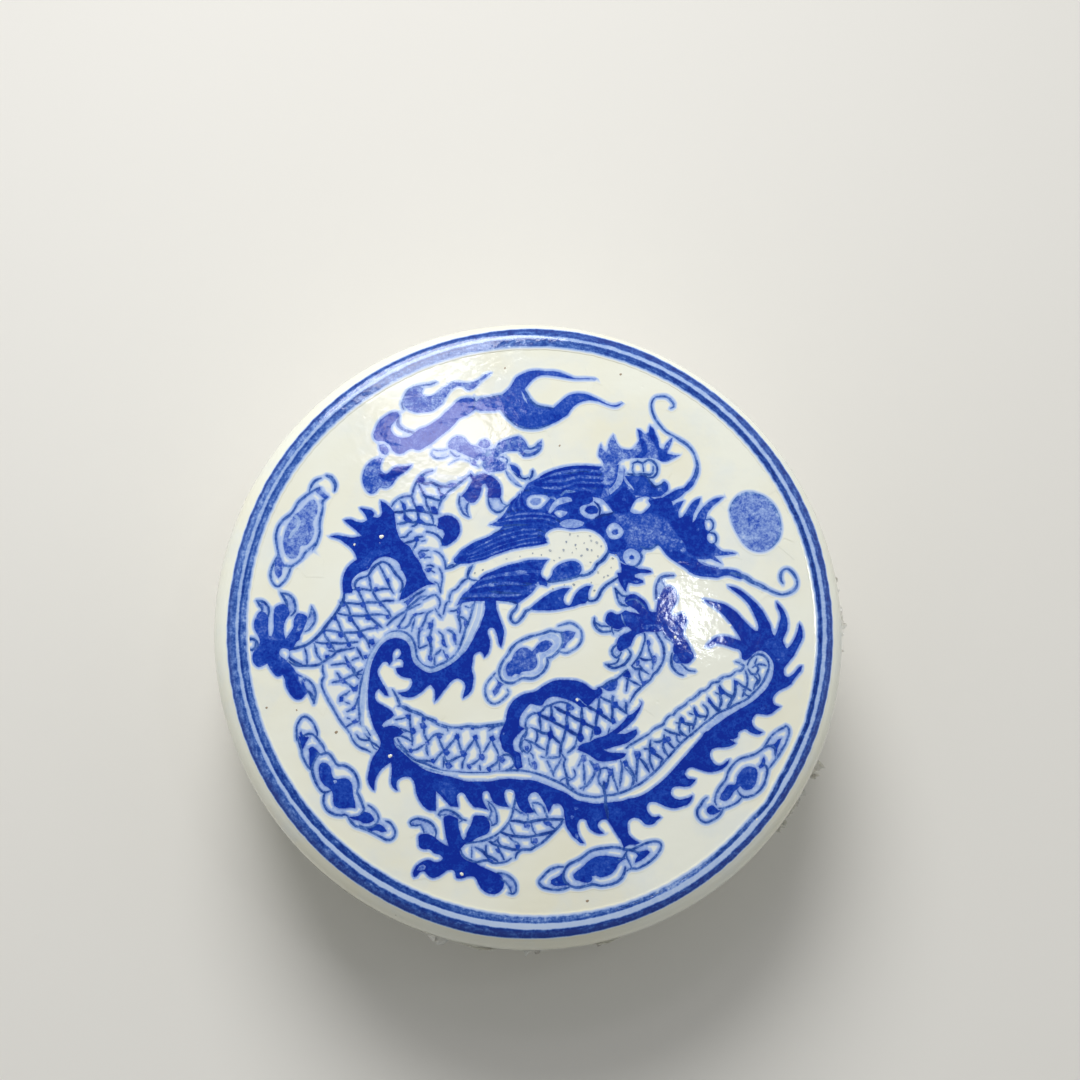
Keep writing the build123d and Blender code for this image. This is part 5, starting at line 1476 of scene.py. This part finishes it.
# One net of triangles over the whole picture. Every outline is among its edges. Further points
# stand where the bleeding beside an outline ends and half-way there, and far apart in the open.
bleed_steps = (bleed, 0.45 * bleed)
point_gap = 0.17  # between two points of the bleeding, at least
open_reach = 37  # how far out the points in the open go, and how far apart they are
open_gap = 2.2
open_clear = 0.8  # and how far they keep from an outline
cell = 0.2  # side of the squares by which near points are found
strength = np.array([ink for _, ink, _ in outlines] + [0.0])
rim = np.concatenate([outline for _, _, outline in outlines])
rim_ink = np.concatenate([np.full(len(outline), ink) for _, ink, outline in outlines])
rim_tree = KDTree(len(rim))
for number, (x, y) in enumerate(rim):
    rim_tree.insert((x, y, 0), number)
rim_tree.balance()
out_way = []
for _, _, outline in outlines:
    along = np.roll(outline, -1, 0) - np.roll(outline, 1, 0)
    along /= np.maximum(np.hypot(along[:, 0], along[:, 1]), 1e-9)[:, None]
    out_way.append(np.stack([along[:, 1], -along[:, 0]], 1))
out_way = np.concatenate(out_way)
ring_points = []
for gap in bleed_steps:
    for way in (1, -1):
        spots = rim + out_way * gap * way
        weaker = strength[top_marks(spots)] < rim_ink - 0.05
        for x, y in spots[weaker]:
            if rim_tree.find((x, y, 0))[2] > 0.85 * gap:
                ring_points.append((x, y))
kept = []
used = {}
for x, y in ring_points:
    column, row = round(x / cell), round(y / cell)
    near = [used[key] for i in (-1, 0, 1) for j in (-1, 0, 1)
            if (key := (column + i, row + j)) in used]
    if all(hypot(x - a, y - b) > point_gap for a, b in near):
        used[column, row] = (x, y)
        kept.append((x, y))
grid = []
for i in np.arange(-open_reach, open_reach + 0.1, open_gap):
    for j in np.arange(-open_reach, open_reach + 0.1, open_gap):
        if rim_tree.find((i, j, 0))[2] > open_clear:
            grid.append((i, j))
net_points = [Vector(p) for p in rim] + [Vector(p) for p in kept] + [Vector(p) for p in grid]
net_edges = []
first = 0
for _, _, outline in outlines:
    count = len(outline)
    net_edges += [(first + i, first + (i + 1) % count) for i in range(count)]
    first += count
net = delaunay_2d_cdt(net_points, net_edges, [], 0, 1e-5, False)
spots = np.array([tuple(p) for p in net[0]])
faces = np.array([f for f in net[2] if len(f) == 3])
a, b, c = (spots[faces[:, i]] for i in range(3))
area = (b[:, 0] - a[:, 0]) * (c[:, 1] - a[:, 1]) - (b[:, 1] - a[:, 1]) * (c[:, 0] - a[:, 0])
faces = faces[np.abs(area) > 1e-7]
middle = spots[faces].mean(1)
top = top_marks(middle)
own = strength[top]
# Ink spills from the edges that show, the further the less
strongest = np.zeros(len(spots))
weakest = np.ones(len(spots))
strongest_top = np.full(len(spots), -1)
for corner in range(3):
    for face, point in enumerate(faces[:, corner]):
        weakest[point] = min(weakest[point], own[face])
        if own[face] > strongest[point]:
            strongest[point] = own[face]
            strongest_top[point] = top[face]
edge_points = np.flatnonzero(strongest - weakest > 0.04)
edge_tree = KDTree(len(edge_points))
for point in edge_points:
    edge_tree.insert((*spots[point], 0), int(point))
edge_tree.balance()
spill = np.zeros(len(spots))
spill_top = np.full(len(spots), -1)
for point, (x, y) in enumerate(spots):
    for _, source, gap in edge_tree.find_range((x, y, 0), bleed):
        reached = strongest[source] * (1 - gap / bleed) ** 1.3
        if reached > spill[point]:
            spill[point] = reached
            spill_top[point] = strongest_top[source]
corner_ink = own[:, None] + bleed_share * np.clip(spill[faces] - own[:, None], 0, None)
shown = corner_ink.max(1) > 0.004
names = list(picture)
motif_of = np.array([names.index(motif) for motif, _, _ in outlines] + [-1])
face_motif = motif_of[top]
loose = (face_motif < 0) & shown
best = spill_top[faces[np.arange(len(faces)), corner_ink.argmax(1)]]
face_motif[loose] = motif_of[best[loose]]
pen_of = np.array(penned + [0.0])
face_pen = np.where(loose, pen_of[best], pen_of[top])


# The colours of fired cobalt by the strength of its ink, from the glaze's edge to the full blue,
# as a broad brush and as the fine brush leaves it
brushed_blue = (
    (0.0, 230, 234, 232), (0.05, 216, 225, 236), (0.1, 192, 208, 236), (0.2, 158, 182, 230),
    (0.45, 102, 130, 204), (0.6, 62, 95, 188), (0.75, 30, 73, 178), (0.9, 15, 60, 168), (1.0, 6, 42, 154),
)
penned_blue = (
    (0.0, 230, 234, 232), (0.05, 216, 225, 236), (0.1, 190, 207, 234), (0.2, 160, 184, 226),
    (0.45, 104, 138, 204), (0.6, 76, 112, 184), (0.75, 50, 88, 164), (0.9, 30, 66, 146), (1.0, 20, 50, 130),
)
penned_share = 0.85


def blues(stops):
    """A table of ink strengths and colours, as a colour ramp takes it."""
    return [(strength, tone(*colour)) for strength, *colour in stops]


def cobalt(name):
    """Underglaze cobalt of the strength in the mesh's ink values, in the lid's own glaze."""
    finish = Finish(name)
    colour, gloss, surface = glaze_look(finish)
    ink = finish.add("ShaderNodeAttribute", attribute_name="ink").outputs["Fac"]
    pool = finish.noise(420, 3, 0.6)
    grain = finish.noise(1250, 3, 0.7)
    fleck = finish.noise(3600, 2, 0.6)
    stir = finish.math("ADD", finish.span(pool, 0.3, 0.7, -0.12, 0.12),
                       finish.span(grain, 0.34, 0.66, -0.16, 0.2))
    stir = finish.math("ADD", stir, finish.span(fleck, 0.36, 0.64, -0.14, 0.11))
    body = finish.span(ink, 0.1, 0.5, 0.0, 1.0)
    calm = finish.span(ink, 0.5, 1.0, 1.0, 0.62)
    stir = finish.math("MULTIPLY", stir, finish.math("MULTIPLY", body, calm))
    dense = finish.math("ADD", ink, stir, clamp=True)
    blue = finish.ramp(dense, *blues(brushed_blue))
    grey_blue = finish.ramp(dense, *blues(penned_blue))
    pen = finish.add("ShaderNodeAttribute", attribute_name="pen").outputs["Fac"]
    blue = finish.mix(finish.math("MULTIPLY", pen, penned_share), blue, grey_blue)
    share = finish.span(ink, 0.0, 0.12, 0.0, 1.0, soft=True)
    return finish.finish(
        Base_Color=finish.mix(share, colour, blue), Roughness=gloss, Normal=surface, IOR=glaze_bends)


cobalt_finish = cobalt("underglaze_cobalt")
glaze_proud = 0.02  # how far the painting's pieces stand above the lid
glaze_deep = 0.03  # and how far they reach into it
smooth_under = radians(50)  # edges that turn by less are shaded smooth
for number, motif in enumerate(names):
    rows = np.flatnonzero(shown & (face_motif == number))
    if not len(rows):
        continue
    chosen, numbered = np.unique(faces[rows], return_inverse=True)
    places = on_lid(spots[chosen, 0], spots[chosen, 1], glaze_proud)
    piece = new_piece("painted_" + motif, places, (), numbered.reshape(-1, 3))
    strengths = piece.data.attributes.new("ink", "FLOAT", "CORNER")
    strengths.data.foreach_set("value", corner_ink[rows].ravel().astype(np.float32))
    pens = piece.data.attributes.new("pen", "FLOAT", "FACE")
    pens.data.foreach_set("value", face_pen[rows].astype(np.float32))
    apply_modifier(piece, "SOLIDIFY", thickness=(glaze_proud + glaze_deep) * mm, offset=-1.0)
    pick(piece)
    bpy.ops.object.shade_smooth_by_angle(angle=smooth_under)
    piece.data.materials.append(cobalt_finish)
    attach(piece, "lid")


# The two lines round the picture, drawn with a loaded brush while the lid turned on a wheel.
# Each is dark where the brush's tip ran, at its outer edge, and washed towards the picture.

# A line's bearing in degrees, outer and inner radius, and the ink at the tip and in the wash,
# read off at about every tenth degree. Between the lines is a thin wash of ink.
outer_line = (
    (-45, 38.36, 37.74, 94, 90), (-30, 38.38, 37.72, 94, 88), (-20, 38.36, 37.66, 94, 86),
    (-10, 38.3, 37.6, 92, 82), (0, 38.2, 37.56, 94, 84), (10, 38.13, 37.52, 92, 80),
    (20, 38.24, 37.52, 88, 78), (30, 38.22, 37.52, 90, 80), (40, 38.16, 37.5, 88, 78),
    (50, 38.07, 37.53, 86, 78), (60, 38.08, 37.53, 88, 80), (70, 38.18, 37.53, 94, 84),
    (75, 38.16, 37.54, 97, 92), (80, 38.22, 37.5, 92, 82), (90, 38.24, 37.53, 92, 78),
    (100, 38.12, 37.48, 88, 74), (110, 38.13, 37.44, 88, 66), (120, 38.16, 37.42, 88, 60),
    (130, 38.2, 37.4, 90, 58), (140, 38.2, 37.36, 88, 50), (150, 38.2, 37.32, 90, 48),
    (160, 38.1, 37.25, 84, 52), (170, 38.04, 37.13, 84, 58), (180, 38.13, 37.13, 86, 60),
    (190, 38.16, 37.1, 88, 64), (200, 38.27, 37.1, 92, 66), (210, 38.3, 37.06, 95, 68),
    (220, 38.3, 37.08, 95, 74), (230, 38.35, 37.18, 95, 80), (240, 38.36, 37.22, 97, 84),
    (250, 38.44, 37.24, 98, 84), (260, 38.56, 37.46, 98, 88), (270, 38.55, 37.6, 99, 94),
    (280, 38.58, 37.67, 98, 94), (290, 38.56, 37.76, 97, 92), (300, 38.52, 37.78, 97, 92),
)
inner_line = (
    (-45, 36.95, 36.45, 84, 76), (-40, 36.95, 36.45, 62, 50), (-38, 37.1, 36.6, 84, 70),
    (-36, 37.25, 36.78, 96, 84), (-33, 37.12, 36.62, 92, 80), (-30, 37.02, 36.46, 92, 86),
    (-20, 37.06, 36.54, 92, 84), (-18, 37.16, 36.66, 94, 84), (-14, 37.04, 36.52, 90, 82),
    (0, 36.95, 36.46, 90, 84), (20, 36.98, 36.44, 88, 86), (40, 36.98, 36.4, 90, 86),
    (60, 37.0, 36.34, 90, 82), (80, 37.06, 36.27, 80, 70), (90, 37.16, 36.16, 80, 64),
    (100, 37.04, 36.13, 82, 62), (120, 36.98, 36.1, 84, 66), (140, 37.0, 36.18, 78, 62),
    (150, 36.95, 36.14, 78, 60), (160, 36.76, 36.04, 80, 58), (170, 36.7, 35.9, 84, 58),
    (180, 36.73, 35.8, 90, 60), (190, 36.62, 35.76, 86, 60), (200, 36.58, 35.72, 90, 62),
    (210, 36.56, 35.68, 92, 76), (220, 36.5, 35.67, 92, 84), (240, 36.48, 35.66, 92, 84),
    (250, 36.5, 35.72, 92, 82), (260, 36.64, 35.8, 72, 60), (270, 36.7, 35.95, 66, 52),
    (280, 36.85, 36.12, 68, 52), (288, 36.92, 36.36, 80, 60), (293, 36.95, 36.4, 74, 54),
    (300, 37.0, 36.42, 52, 40), (308, 36.98, 36.44, 56, 42), (310, 36.95, 36.45, 86, 76),
)
gap_wash = (
    (-60, 15), (-40, 14), (0, 20), (50, 18), (80, 20), (110, 22), (160, 21), (200, 17), (230, 14),
    (270, 11),
)
line_steps = 1080
line_halo = 9.0  # the ink that ran out beside a line, in hundredths


def round_table(readings):
    """The columns of a table of readings at bearings, at each step round the lid."""
    table = np.array(sorted(readings), float)
    shift = np.zeros(table.shape[1])
    shift[0] = 360
    table = np.concatenate([table - shift, table, table + shift])
    bearing = np.arange(line_steps) * 360 / line_steps
    return [np.interp(bearing, table[:, 0], table[:, k]) for k in range(1, table.shape[1])]


angle = np.arange(line_steps) * 2 * pi / line_steps
draw = np.random.default_rng(31)


def tremble(size, low, high):
    """A hand's unsteadiness round the lid, as waves between low and high in number."""
    return sum(draw.uniform(0.4, 1) * size * np.sin(angle * k + draw.uniform(0, 6))
               for k in draw.integers(low, high, 6)) / 3


def line_rows(outer, inner, tip, wash):
    """A line's rows of points, from its outer edge to its inner one, each with its ink."""
    outer = outer + tremble(0.035, 40, 150)
    inner = inner + tremble(0.05, 40, 160)
    wide = outer - inner
    streaks = [1 + tremble(size, 20, 170) for size in (0.16, 0.26, 0.3, 0.22)]
    rows = [(outer, 0.75 * tip), (outer - 0.07, tip), (outer - 0.17, tip),
            (outer - 0.24, 0.55 * tip + 0.45 * wash)]
    for share, streak in zip((0.42, 0.56, 0.7, 0.84), streaks):
        rows.append((outer - share * wide, wash * streak))
    return rows + [(inner + 0.05, wash), (inner - 0.05, 0.45 * wash)]


halo = np.full(line_steps, line_halo)
gap_ink = round_table(gap_wash)[0]
first = line_rows(*round_table(outer_line))
second = line_rows(*round_table(inner_line))
outmost, inmost = first[0][0], second[-1][0]
rows = [(outmost + 0.26, 0 * halo), (outmost + 0.1, halo)]
rows += first + [(first[-1][0] - 0.1, gap_ink)]
rows += [(second[0][0] + 0.1, gap_ink)] + second
rows += [(inmost - 0.12, 1.4 * halo), (inmost - 0.4, 0 * halo)]
radius = np.concatenate([row for row, _ in rows])
ink = np.clip(np.concatenate([value for _, value in rows]) / 100, 0, 1)
around = np.tile(angle, len(rows))
lifts = np.full(len(rows), glaze_proud)
lifts[0] = lifts[-1] = -0.01  # the lines' outmost and inmost edges dip into the lid
places = on_lid(radius * np.cos(around), radius * np.sin(around), np.repeat(lifts, line_steps))
quads = []
for row in range(len(rows) - 1):
    for i in range(line_steps):
        j = (i + 1) % line_steps
        outside, within = row * line_steps, (row + 1) * line_steps
        quads.append((within + i, within + j, outside + j, outside + i))
piece = new_piece("blue_lines", places, (), quads)
strengths = piece.data.attributes.new("ink", "FLOAT", "POINT")
strengths.data.foreach_set("value", ink.astype(np.float32))
pens = piece.data.attributes.new("pen", "FLOAT", "POINT")
pens.data.foreach_set("value", np.ones(len(ink), np.float32))
apply_modifier(piece, "SOLIDIFY", thickness=(glaze_proud + glaze_deep) * mm, offset=-1.0)
pick(piece)
bpy.ops.object.shade_smooth_by_angle(angle=smooth_under)
piece.data.materials.append(cobalt_finish)
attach(piece, "lid")


# The marks of the kiln on the lid: iron specks that burned through the glaze, and beads of
# glaze that ran and set. Each has its place and radius in millimetres.
iron_specks = (
    (7.3, -33.9, 0.18), (-30.05, -8.3, 0.1), (-29.4, -9.8, 0.11), (-24.4, -12.6, 0.2), (11.5, 32.6, 0.14),
    (3.8, 23.6, 0.13), (-33.2, -9.5, 0.14), (30.8, 12.2, 0.12), (-3.1, 33.4, 0.12), (22.6, -14.2, 0.12),
)
glaze_beads = (
    (-17.6, -15.6, 0.26), (-8.55, -30.5, 0.24), (6.0, -8.5, 0.2), (28.7, -23.6, 0.26), (-10.2, 8.8, 0.16),
    (18.4, -0.6, 0.2), (15.9, 7.2, 0.18), (-18.7, 12.1, 0.28), (-22.1, 11.1, 0.16), (-2.2, -20.4, 0.16),
    (25.3, 0.9, 0.2),
)
spot_sides = 14
spot_rings = ((1.0, 0.0), (0.75, 0.55), (0.4, 0.9), (0.0, 1.0))  # shares of radius and of height


def kiln_marks(name, marks, rise, proud=0.006):
    """Round, slightly uneven spots on the lid, lifted in the middle by a share of their radius."""
    draw = np.random.default_rng(len(name))
    points, triangles = [], []
    for x, y, size in marks:
        first = len(points)
        bend = draw.uniform(0, 6)
        for ring, (share, lift) in enumerate(spot_rings):
            for turn in np.arange(spot_sides if share else 1) * 2 * pi / spot_sides:
                reach = size * share * (1 + 0.16 * sin(2 * turn + bend) + 0.08 * sin(3 * turn))
                across_to, up_to = x + reach * cos(turn), y + reach * sin(turn)
                spot = on_lid(np.array([across_to]), np.array([up_to]), proud + rise * size * lift)
                points.append(tuple(spot[0]))
            if ring:
                outer, inner = first + (ring - 1) * spot_sides, first + ring * spot_sides
                for i in range(spot_sides):
                    j = (i + 1) % spot_sides
                    if share:
                        triangles.append((outer + i, outer + j, inner + j, inner + i))
                    else:
                        triangles.append((outer + i, outer + j, inner))
        rim = [first + i for i in range(spot_sides)]
        triangles.append(tuple(reversed(rim)))
    piece = new_piece(name, points, (), triangles)
    bpy.ops.object.shade_smooth_by_angle(angle=radians(60))
    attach(piece, "lid")
    return piece


finish = Finish("burnt_iron")
burn = finish.noise(3500, 3, 0.6)
specks = kiln_marks("iron_specks", iron_specks, 0.1)
specks.data.materials.append(finish.finish(
    Base_Color=finish.mix(burn, tone(128, 108, 88), tone(178, 160, 134)), Roughness=0.2,
    Normal=finish.bump(burn, 0.4, 0.02 * mm)))
finish = Finish("set_glaze_bead")
colour, gloss, surface = glaze_look(finish)
beads = kiln_marks("glaze_beads", glaze_beads, 0.3)
beads.data.materials.append(finish.finish(
    Base_Color=colour, Roughness=gloss, Normal=surface, IOR=glaze_bends))


# The cheek's freckles. Faint dots of thin cobalt, touched on the dragon's white cheek and jaw
# with the tip of a fine brush, and spread a little in the firing.
# Each is its place in hundredths of a millimetre, and its radius in parts of a millimetre
freckle_unit = 92  # so many parts to the millimetre
freckles = (
    (510, 1240, 13), (765, 1220, 14), (465, 1145, 12), (580, 1105, 13), (780, 1160, 13), (850, 1135, 17),
    (905, 1090, 12), (430, 1040, 15), (260, 1035, 16), (730, 1050, 16), (785, 1040, 12), (655, 970, 14),
    (590, 1060, 9), (865, 960, 14), (380, 945, 11), (310, 910, 10), (770, 885, 12), (865, 760, 15),
    (940, 700, 12), (990, 720, 12), (1050, 935, 13), (1030, 820, 10), (1090, 980, 10), (560, 605, 15),
    (295, 550, 13), (440, 600, 9), (820, 530, 12), (780, 630, 10), (-290, 930, 12), (-590, 790, 12),
    (-690, 750, 12), (150, 980, 10), (40, 1000, 9), (-120, 960, 9), (690, 1130, 10), (610, 1220, 10),
    (540, 1010, 9),
)
placed = [(x / 100, y / 100, size / freckle_unit) for x, y, size in freckles]
specks = kiln_marks("cheek_freckles", placed, 0.02, 0.024)
finish = Finish("faint_freckle")
_, gloss, surface = glaze_look(finish)
shade = finish.mix(finish.span(finish.noise(900, 2), 0.4, 0.6), tone(150, 160, 174), tone(188, 194, 196))
specks.data.materials.append(finish.finish(
    Base_Color=shade, Roughness=gloss, Normal=surface, IOR=glaze_bends))


# The clear film that sealed the box. A thin band shrunk round the seam, slit along it and torn
# on opening: it is wrinkled and milky, its edges are ragged, and shreds of it stand off.
wall_r = 40.0  # the box's side, in millimetres
film_thick = 0.035
film_off = 0.04  # between the film and the side
band_rows = 12
band_steps = 720
tear_share = 0.72  # of a band's height that is left at its torn edge, and how that wanders
tear_wander = 0.1
tear_fray = 0.07
wrinkle_off = 0.12
crinkle_off = 0.05


def near_angle(angle, middle, spread):
    """1 at a bearing in degrees, and 0 a spread away from it."""
    off = np.abs((np.degrees(angle) - middle + 180) % 360 - 180)
    return np.clip(1 - off / spread, 0, 1) ** 0.7


def band_points(low, high, upwards, tongues, seed):
    """Rows of points round the wall, from a band's straight edge to its torn one."""
    angle = np.arange(band_steps) * 2 * pi / band_steps
    x, y = np.cos(angle) * wall_r, np.sin(angle) * wall_r
    tear = tear_share + tear_wander * ripple(x, y, 24, seed, 3)
    tear += tear_fray * ripple(x, y, 4.5, seed + 1, 3)
    curl = np.zeros(band_steps)
    for bearing, spread, reach, out in tongues:
        near = near_angle(angle, bearing, spread)
        tear = tear + (reach - tear) * near
        curl = np.maximum(curl, out * near**1.5)
    tear = np.clip(tear, 0.3, 1.0)
    share = np.arange(band_rows + 1)[:, None] / band_rows * tear[None]
    height = low + (high - low) * share if upwards else high - (high - low) * share
    along = angle[None] * wall_r + 0 * height
    wrinkle = ripple(along, height * 1.6, 5.0, seed + 2, 3)
    crinkle = ripple(along, height * 0.7, 1.7, seed + 3, 2)
    off = film_off + wrinkle_off * np.clip(wrinkle, 0, 1) + crinkle_off * np.clip(crinkle, 0, 1)
    off = off + curl[None] * np.clip((share - 0.35) / 0.65, 0, 1) ** 2
    radius = wall_r + off
    points = np.stack([radius * np.cos(angle)[None], radius * np.sin(angle)[None], height], 2)
    points = points.reshape(-1, 3)
    torn = np.clip((share / tear[None] - 0.75) * 3, 0, 1) * 0.6 + np.clip(curl[None] * share, 0, 0.4)
    quads = []
    for row in range(band_rows):
        for i in range(band_steps):
            j = (i + 1) % band_steps
            under, over = row * band_steps, (row + 1) * band_steps
            quad = (under + i, under + j, over + j, over + i)
            quads.append(quad if upwards else quad[::-1])
    return points, quads, torn.ravel()


def shred_points(bearing, span, out, height, rise, seed):
    """A crumpled rag of film that stands off the wall, with a torn outline."""
    across_n, out_n = max(8, round(span * 4)), 9
    along, off = np.meshgrid(np.linspace(0, 1, across_n + 1), np.linspace(0, 1, out_n + 1), indexing="ij")
    x, y = along * radians(span) * wall_r, off * out
    ragged = 0.62 + 0.38 * ripple(x, 0 * y, 1.1, seed, 3)
    ends = np.clip(np.minimum(along, 1 - along) * 7, 0, 1) ** 0.5
    reach = off * ragged * ends
    fold = ripple(x, y, 1.3, seed + 1, 3)
    angle = np.radians(bearing + (along - 0.5) * span)
    angle = angle + 0.12 / wall_r * ripple(x, y, 0.9, seed + 2, 2) * off
    radius = wall_r + film_off + 0.03 + out * reach * (1 + 0.12 * fold)
    lift = height + rise * reach + 0.32 * fold * np.clip(reach * 3, 0, 1)
    points = np.stack([radius * np.cos(angle), radius * np.sin(angle), lift], 2).reshape(-1, 3)
    quads = []
    for i in range(across_n):
        for j in range(out_n):
            corner = i * (out_n + 1) + j
            quads.append((corner, corner + out_n + 1, corner + out_n + 2, corner + 1))
    return points, quads, np.clip(0.55 + 0.45 * off, 0, 1).ravel()


def film_piece(name, low, high, upwards, tongues, shreds, seed):
    """A torn band with its shreds, as one piece."""
    points, quads, torn = band_points(low, high, upwards, tongues, seed)
    for number, shred in enumerate(shreds):
        more, faces, rag = shred_points(*shred, seed + 10 * number)
        quads += [tuple(int(i) + len(points) for i in face) for face in faces]
        points = np.concatenate([points, more])
        torn = np.concatenate([torn, rag])
    piece = new_piece(name, points * mm, (), quads)
    share = piece.data.attributes.new("torn", "FLOAT", "POINT")
    share.data.foreach_set("value", torn.astype(np.float32))
    apply_modifier(piece, "SOLIDIFY", thickness=film_thick * mm, offset=1.0)
    pick(piece)
    bpy.ops.object.shade_smooth_by_angle(angle=smooth_under)
    return piece


finish = Finish("clear_shrink_film")
torn = finish.add("ShaderNodeAttribute", attribute_name="torn").outputs["Fac"]
crinkle = finish.noise(700, 4, 0.6, 0.8)
milky = finish.span(finish.noise(260, 4, 0.65), 0.45, 0.7)
dirt = finish.math("MULTIPLY", finish.span(finish.noise(420, 4, 0.7), 0.5, 0.66), torn)
colour = finish.mix(milky, tone(254, 254, 250), tone(246, 243, 234))
colour = finish.mix(finish.math("MULTIPLY", dirt, 0.4), colour, tone(150, 128, 100))
surface = finish.bump(crinkle, 1.0, 0.16 * mm)
film_gloss = finish.span(milky, 0, 1, 0.07, 0.3)
film_finish = finish.finish(
    Base_Color=colour, Roughness=film_gloss, Normal=surface, Transmission_Weight=0.2, IOR=1.45,
    Alpha=finish.span(torn, 0.0, 0.9, 0.2, 0.85))
# Each tongue's bearing and spread in degrees, its share of the band's height, and how far it
# stands off
lid_tongues = (
    (0, 7, 0.95, 0.5), (-33, 7, 1.0, 0.5), (-76, 4, 0.9, 0.6), (-99, 5, 0.95, 0.6), (150, 9, 0.9, 0.3),
)
dish_tongues = (
    (-6, 6, 0.9, 0.6), (-30, 5, 1.0, 0.8), (-88, 7, 0.85, 0.7), (-107, 4, 1.0, 0.8), (60, 8, 0.9, 0.3),
)
# Each shred's bearing and span in degrees, how far it stands off, its height and how far it rises
lid_shreds = (
    (-34.5, 9, 1.0, 21.4, 0.9), (-31, 5, 1.5, 20.6, 0.2), (-26.2, 1.6, 1.7, 21.6, 1.4),
    (-24.4, 2.4, 2.2, 21.2, 1.0), (-37.5, 2, 1.5, 21.8, 0.6), (-10, 2, 0.8, 21.6, 0.6),
    (2.8, 8, 1.5, 22.2, 0.8), (10, 6, 1.2, 22.4, 0.5), (-4, 5, 1.0, 22.2, 0.5),
    (-76.8, 2.4, 0.7, 21.0, 0.2), (-97.5, 3, 0.6, 21.2, 0.3),
)
dish_shreds = (
    (-37, 3, 1.6, 15.4, -0.4), (-88.7, 3.4, 1.1, 15.0, -0.3), (-105.6, 2.6, 1.3, 15.6, -0.2),
)
for name, node, body, upwards, tongues, shreds, seed in (
        ("lid_film", "lid_seal_film", "lid", True, lid_tongues, lid_shreds, 41),
        ("dish_film", "base_seal_film", "base", False, dish_tongues, dish_shreds, 47)):
    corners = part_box(node)
    band = film_piece(name, corners[0].z / mm, corners[1].z / mm, upwards, tongues, shreds, seed)
    band.data.materials.append(film_finish)
    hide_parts(node)
    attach(band, body)


# Where it stands and how it is seen: a plain pale floor, a soft light from all round, a wide
# lamp behind, two far small ones whose mirror images lie on the glaze as its sheen at the top
# left and its glint at the right, and the photograph's camera.
floor_size = 6  # metres
floor_under = 0.2 * mm  # below the foot ring
deselect_all()
bpy.ops.mesh.primitive_plane_add(size=floor_size, location=(0, 0, -floor_under))
floor = bpy.context.object
floor.name = "floor"
finish = Finish("pale_floor")
colour = finish.mix(finish.noise(6, 2), tone(224, 221, 214), tone(229, 227, 221))
floor.data.materials.append(finish.finish(Base_Color=colour, Roughness=0.6))

# The sky is bright round the sides and dim overhead, so that the lid doesn't mirror it all
# over, and dimmer on the viewer's side, so that the blue stays deep in the glaze
sky_low = {"From Min": 0.72, "From Max": 0.93, "To Min": 0.66, "To Max": 0.14}
sky_front = {"From Min": -0.9, "From Max": 0.0, "To Min": 0.32, "To Max": 1.0}
world = bpy.data.worlds.new("soft_light")
world.use_nodes = True
sky = world.node_tree.nodes["Background"]
way = world.node_tree.nodes.new("ShaderNodeTexCoord")
parts = world.node_tree.nodes.new("ShaderNodeSeparateXYZ")
fall = world.node_tree.nodes.new("ShaderNodeMapRange")
fall.interpolation_type = "SMOOTHSTEP"
for name, value in sky_low.items():
    fall.inputs[name].default_value = value
world.node_tree.links.new(way.outputs["Generated"], parts.inputs[0])
world.node_tree.links.new(parts.outputs[2], fall.inputs["Value"])
front = world.node_tree.nodes.new("ShaderNodeMapRange")
for name, value in sky_front.items():
    front.inputs[name].default_value = value
both = world.node_tree.nodes.new("ShaderNodeMath")
both.operation = "MULTIPLY"
world.node_tree.links.new(parts.outputs[1], front.inputs["Value"])
world.node_tree.links.new(fall.outputs[0], both.inputs[0])
world.node_tree.links.new(front.outputs[0], both.inputs[1])
world.node_tree.links.new(both.outputs[0], sky.inputs["Strength"])
sky.inputs["Color"].default_value = (0.985, 1, 1, 1)
bpy.context.scene.world = world


def soft_lamp(name, place, size, watts, colour=(1, 1, 1), spread=180):
    """An oval lamp that looks at the box, with its size across and up in metres."""
    lamp = bpy.data.lights.new(name, "AREA")
    lamp.shape = "ELLIPSE"
    lamp.size, lamp.size_y = size
    lamp.energy = watts
    lamp.color = colour
    lamp.spread = radians(spread)
    holder = bpy.data.objects.new(name, lamp)
    holder.location = place
    holder.rotation_euler = (Vector((0, 0, 0.02)) - Vector(place)).to_track_quat("-Z", "Y").to_euler()
    bpy.context.scene.collection.objects.link(holder)


soft_lamp("wide_lamp", (-0.08, 0.36, 0.40), (0.3, 0.3), 0.8, spread=110)
soft_lamp("sheen_lamp", (-0.06, 0.352, 0.87), (0.17, 0.09), 0.24, (0.97, 0.9, 1))
soft_lamp("glint_lamp", (0.263, 0.135, 0.87), (0.085, 0.02), 0.13, (0.93, 0.98, 1))

camera_data = bpy.data.cameras.new("camera")
camera_data.lens = lens_pixels / (2 * picture_half) * camera_data.sensor_width
camera_data.clip_start = 0.01
camera = bpy.data.objects.new("camera", camera_data)
bpy.context.scene.collection.objects.link(camera)
turned_to = Matrix((across, up, -aim)).transposed().to_4x4()
camera.matrix_world = Matrix.Translation(Vector(eye * mm)) @ turned_to
bpy.context.scene.camera = camera
bpy.context.scene.view_settings.view_transform = "Standard"
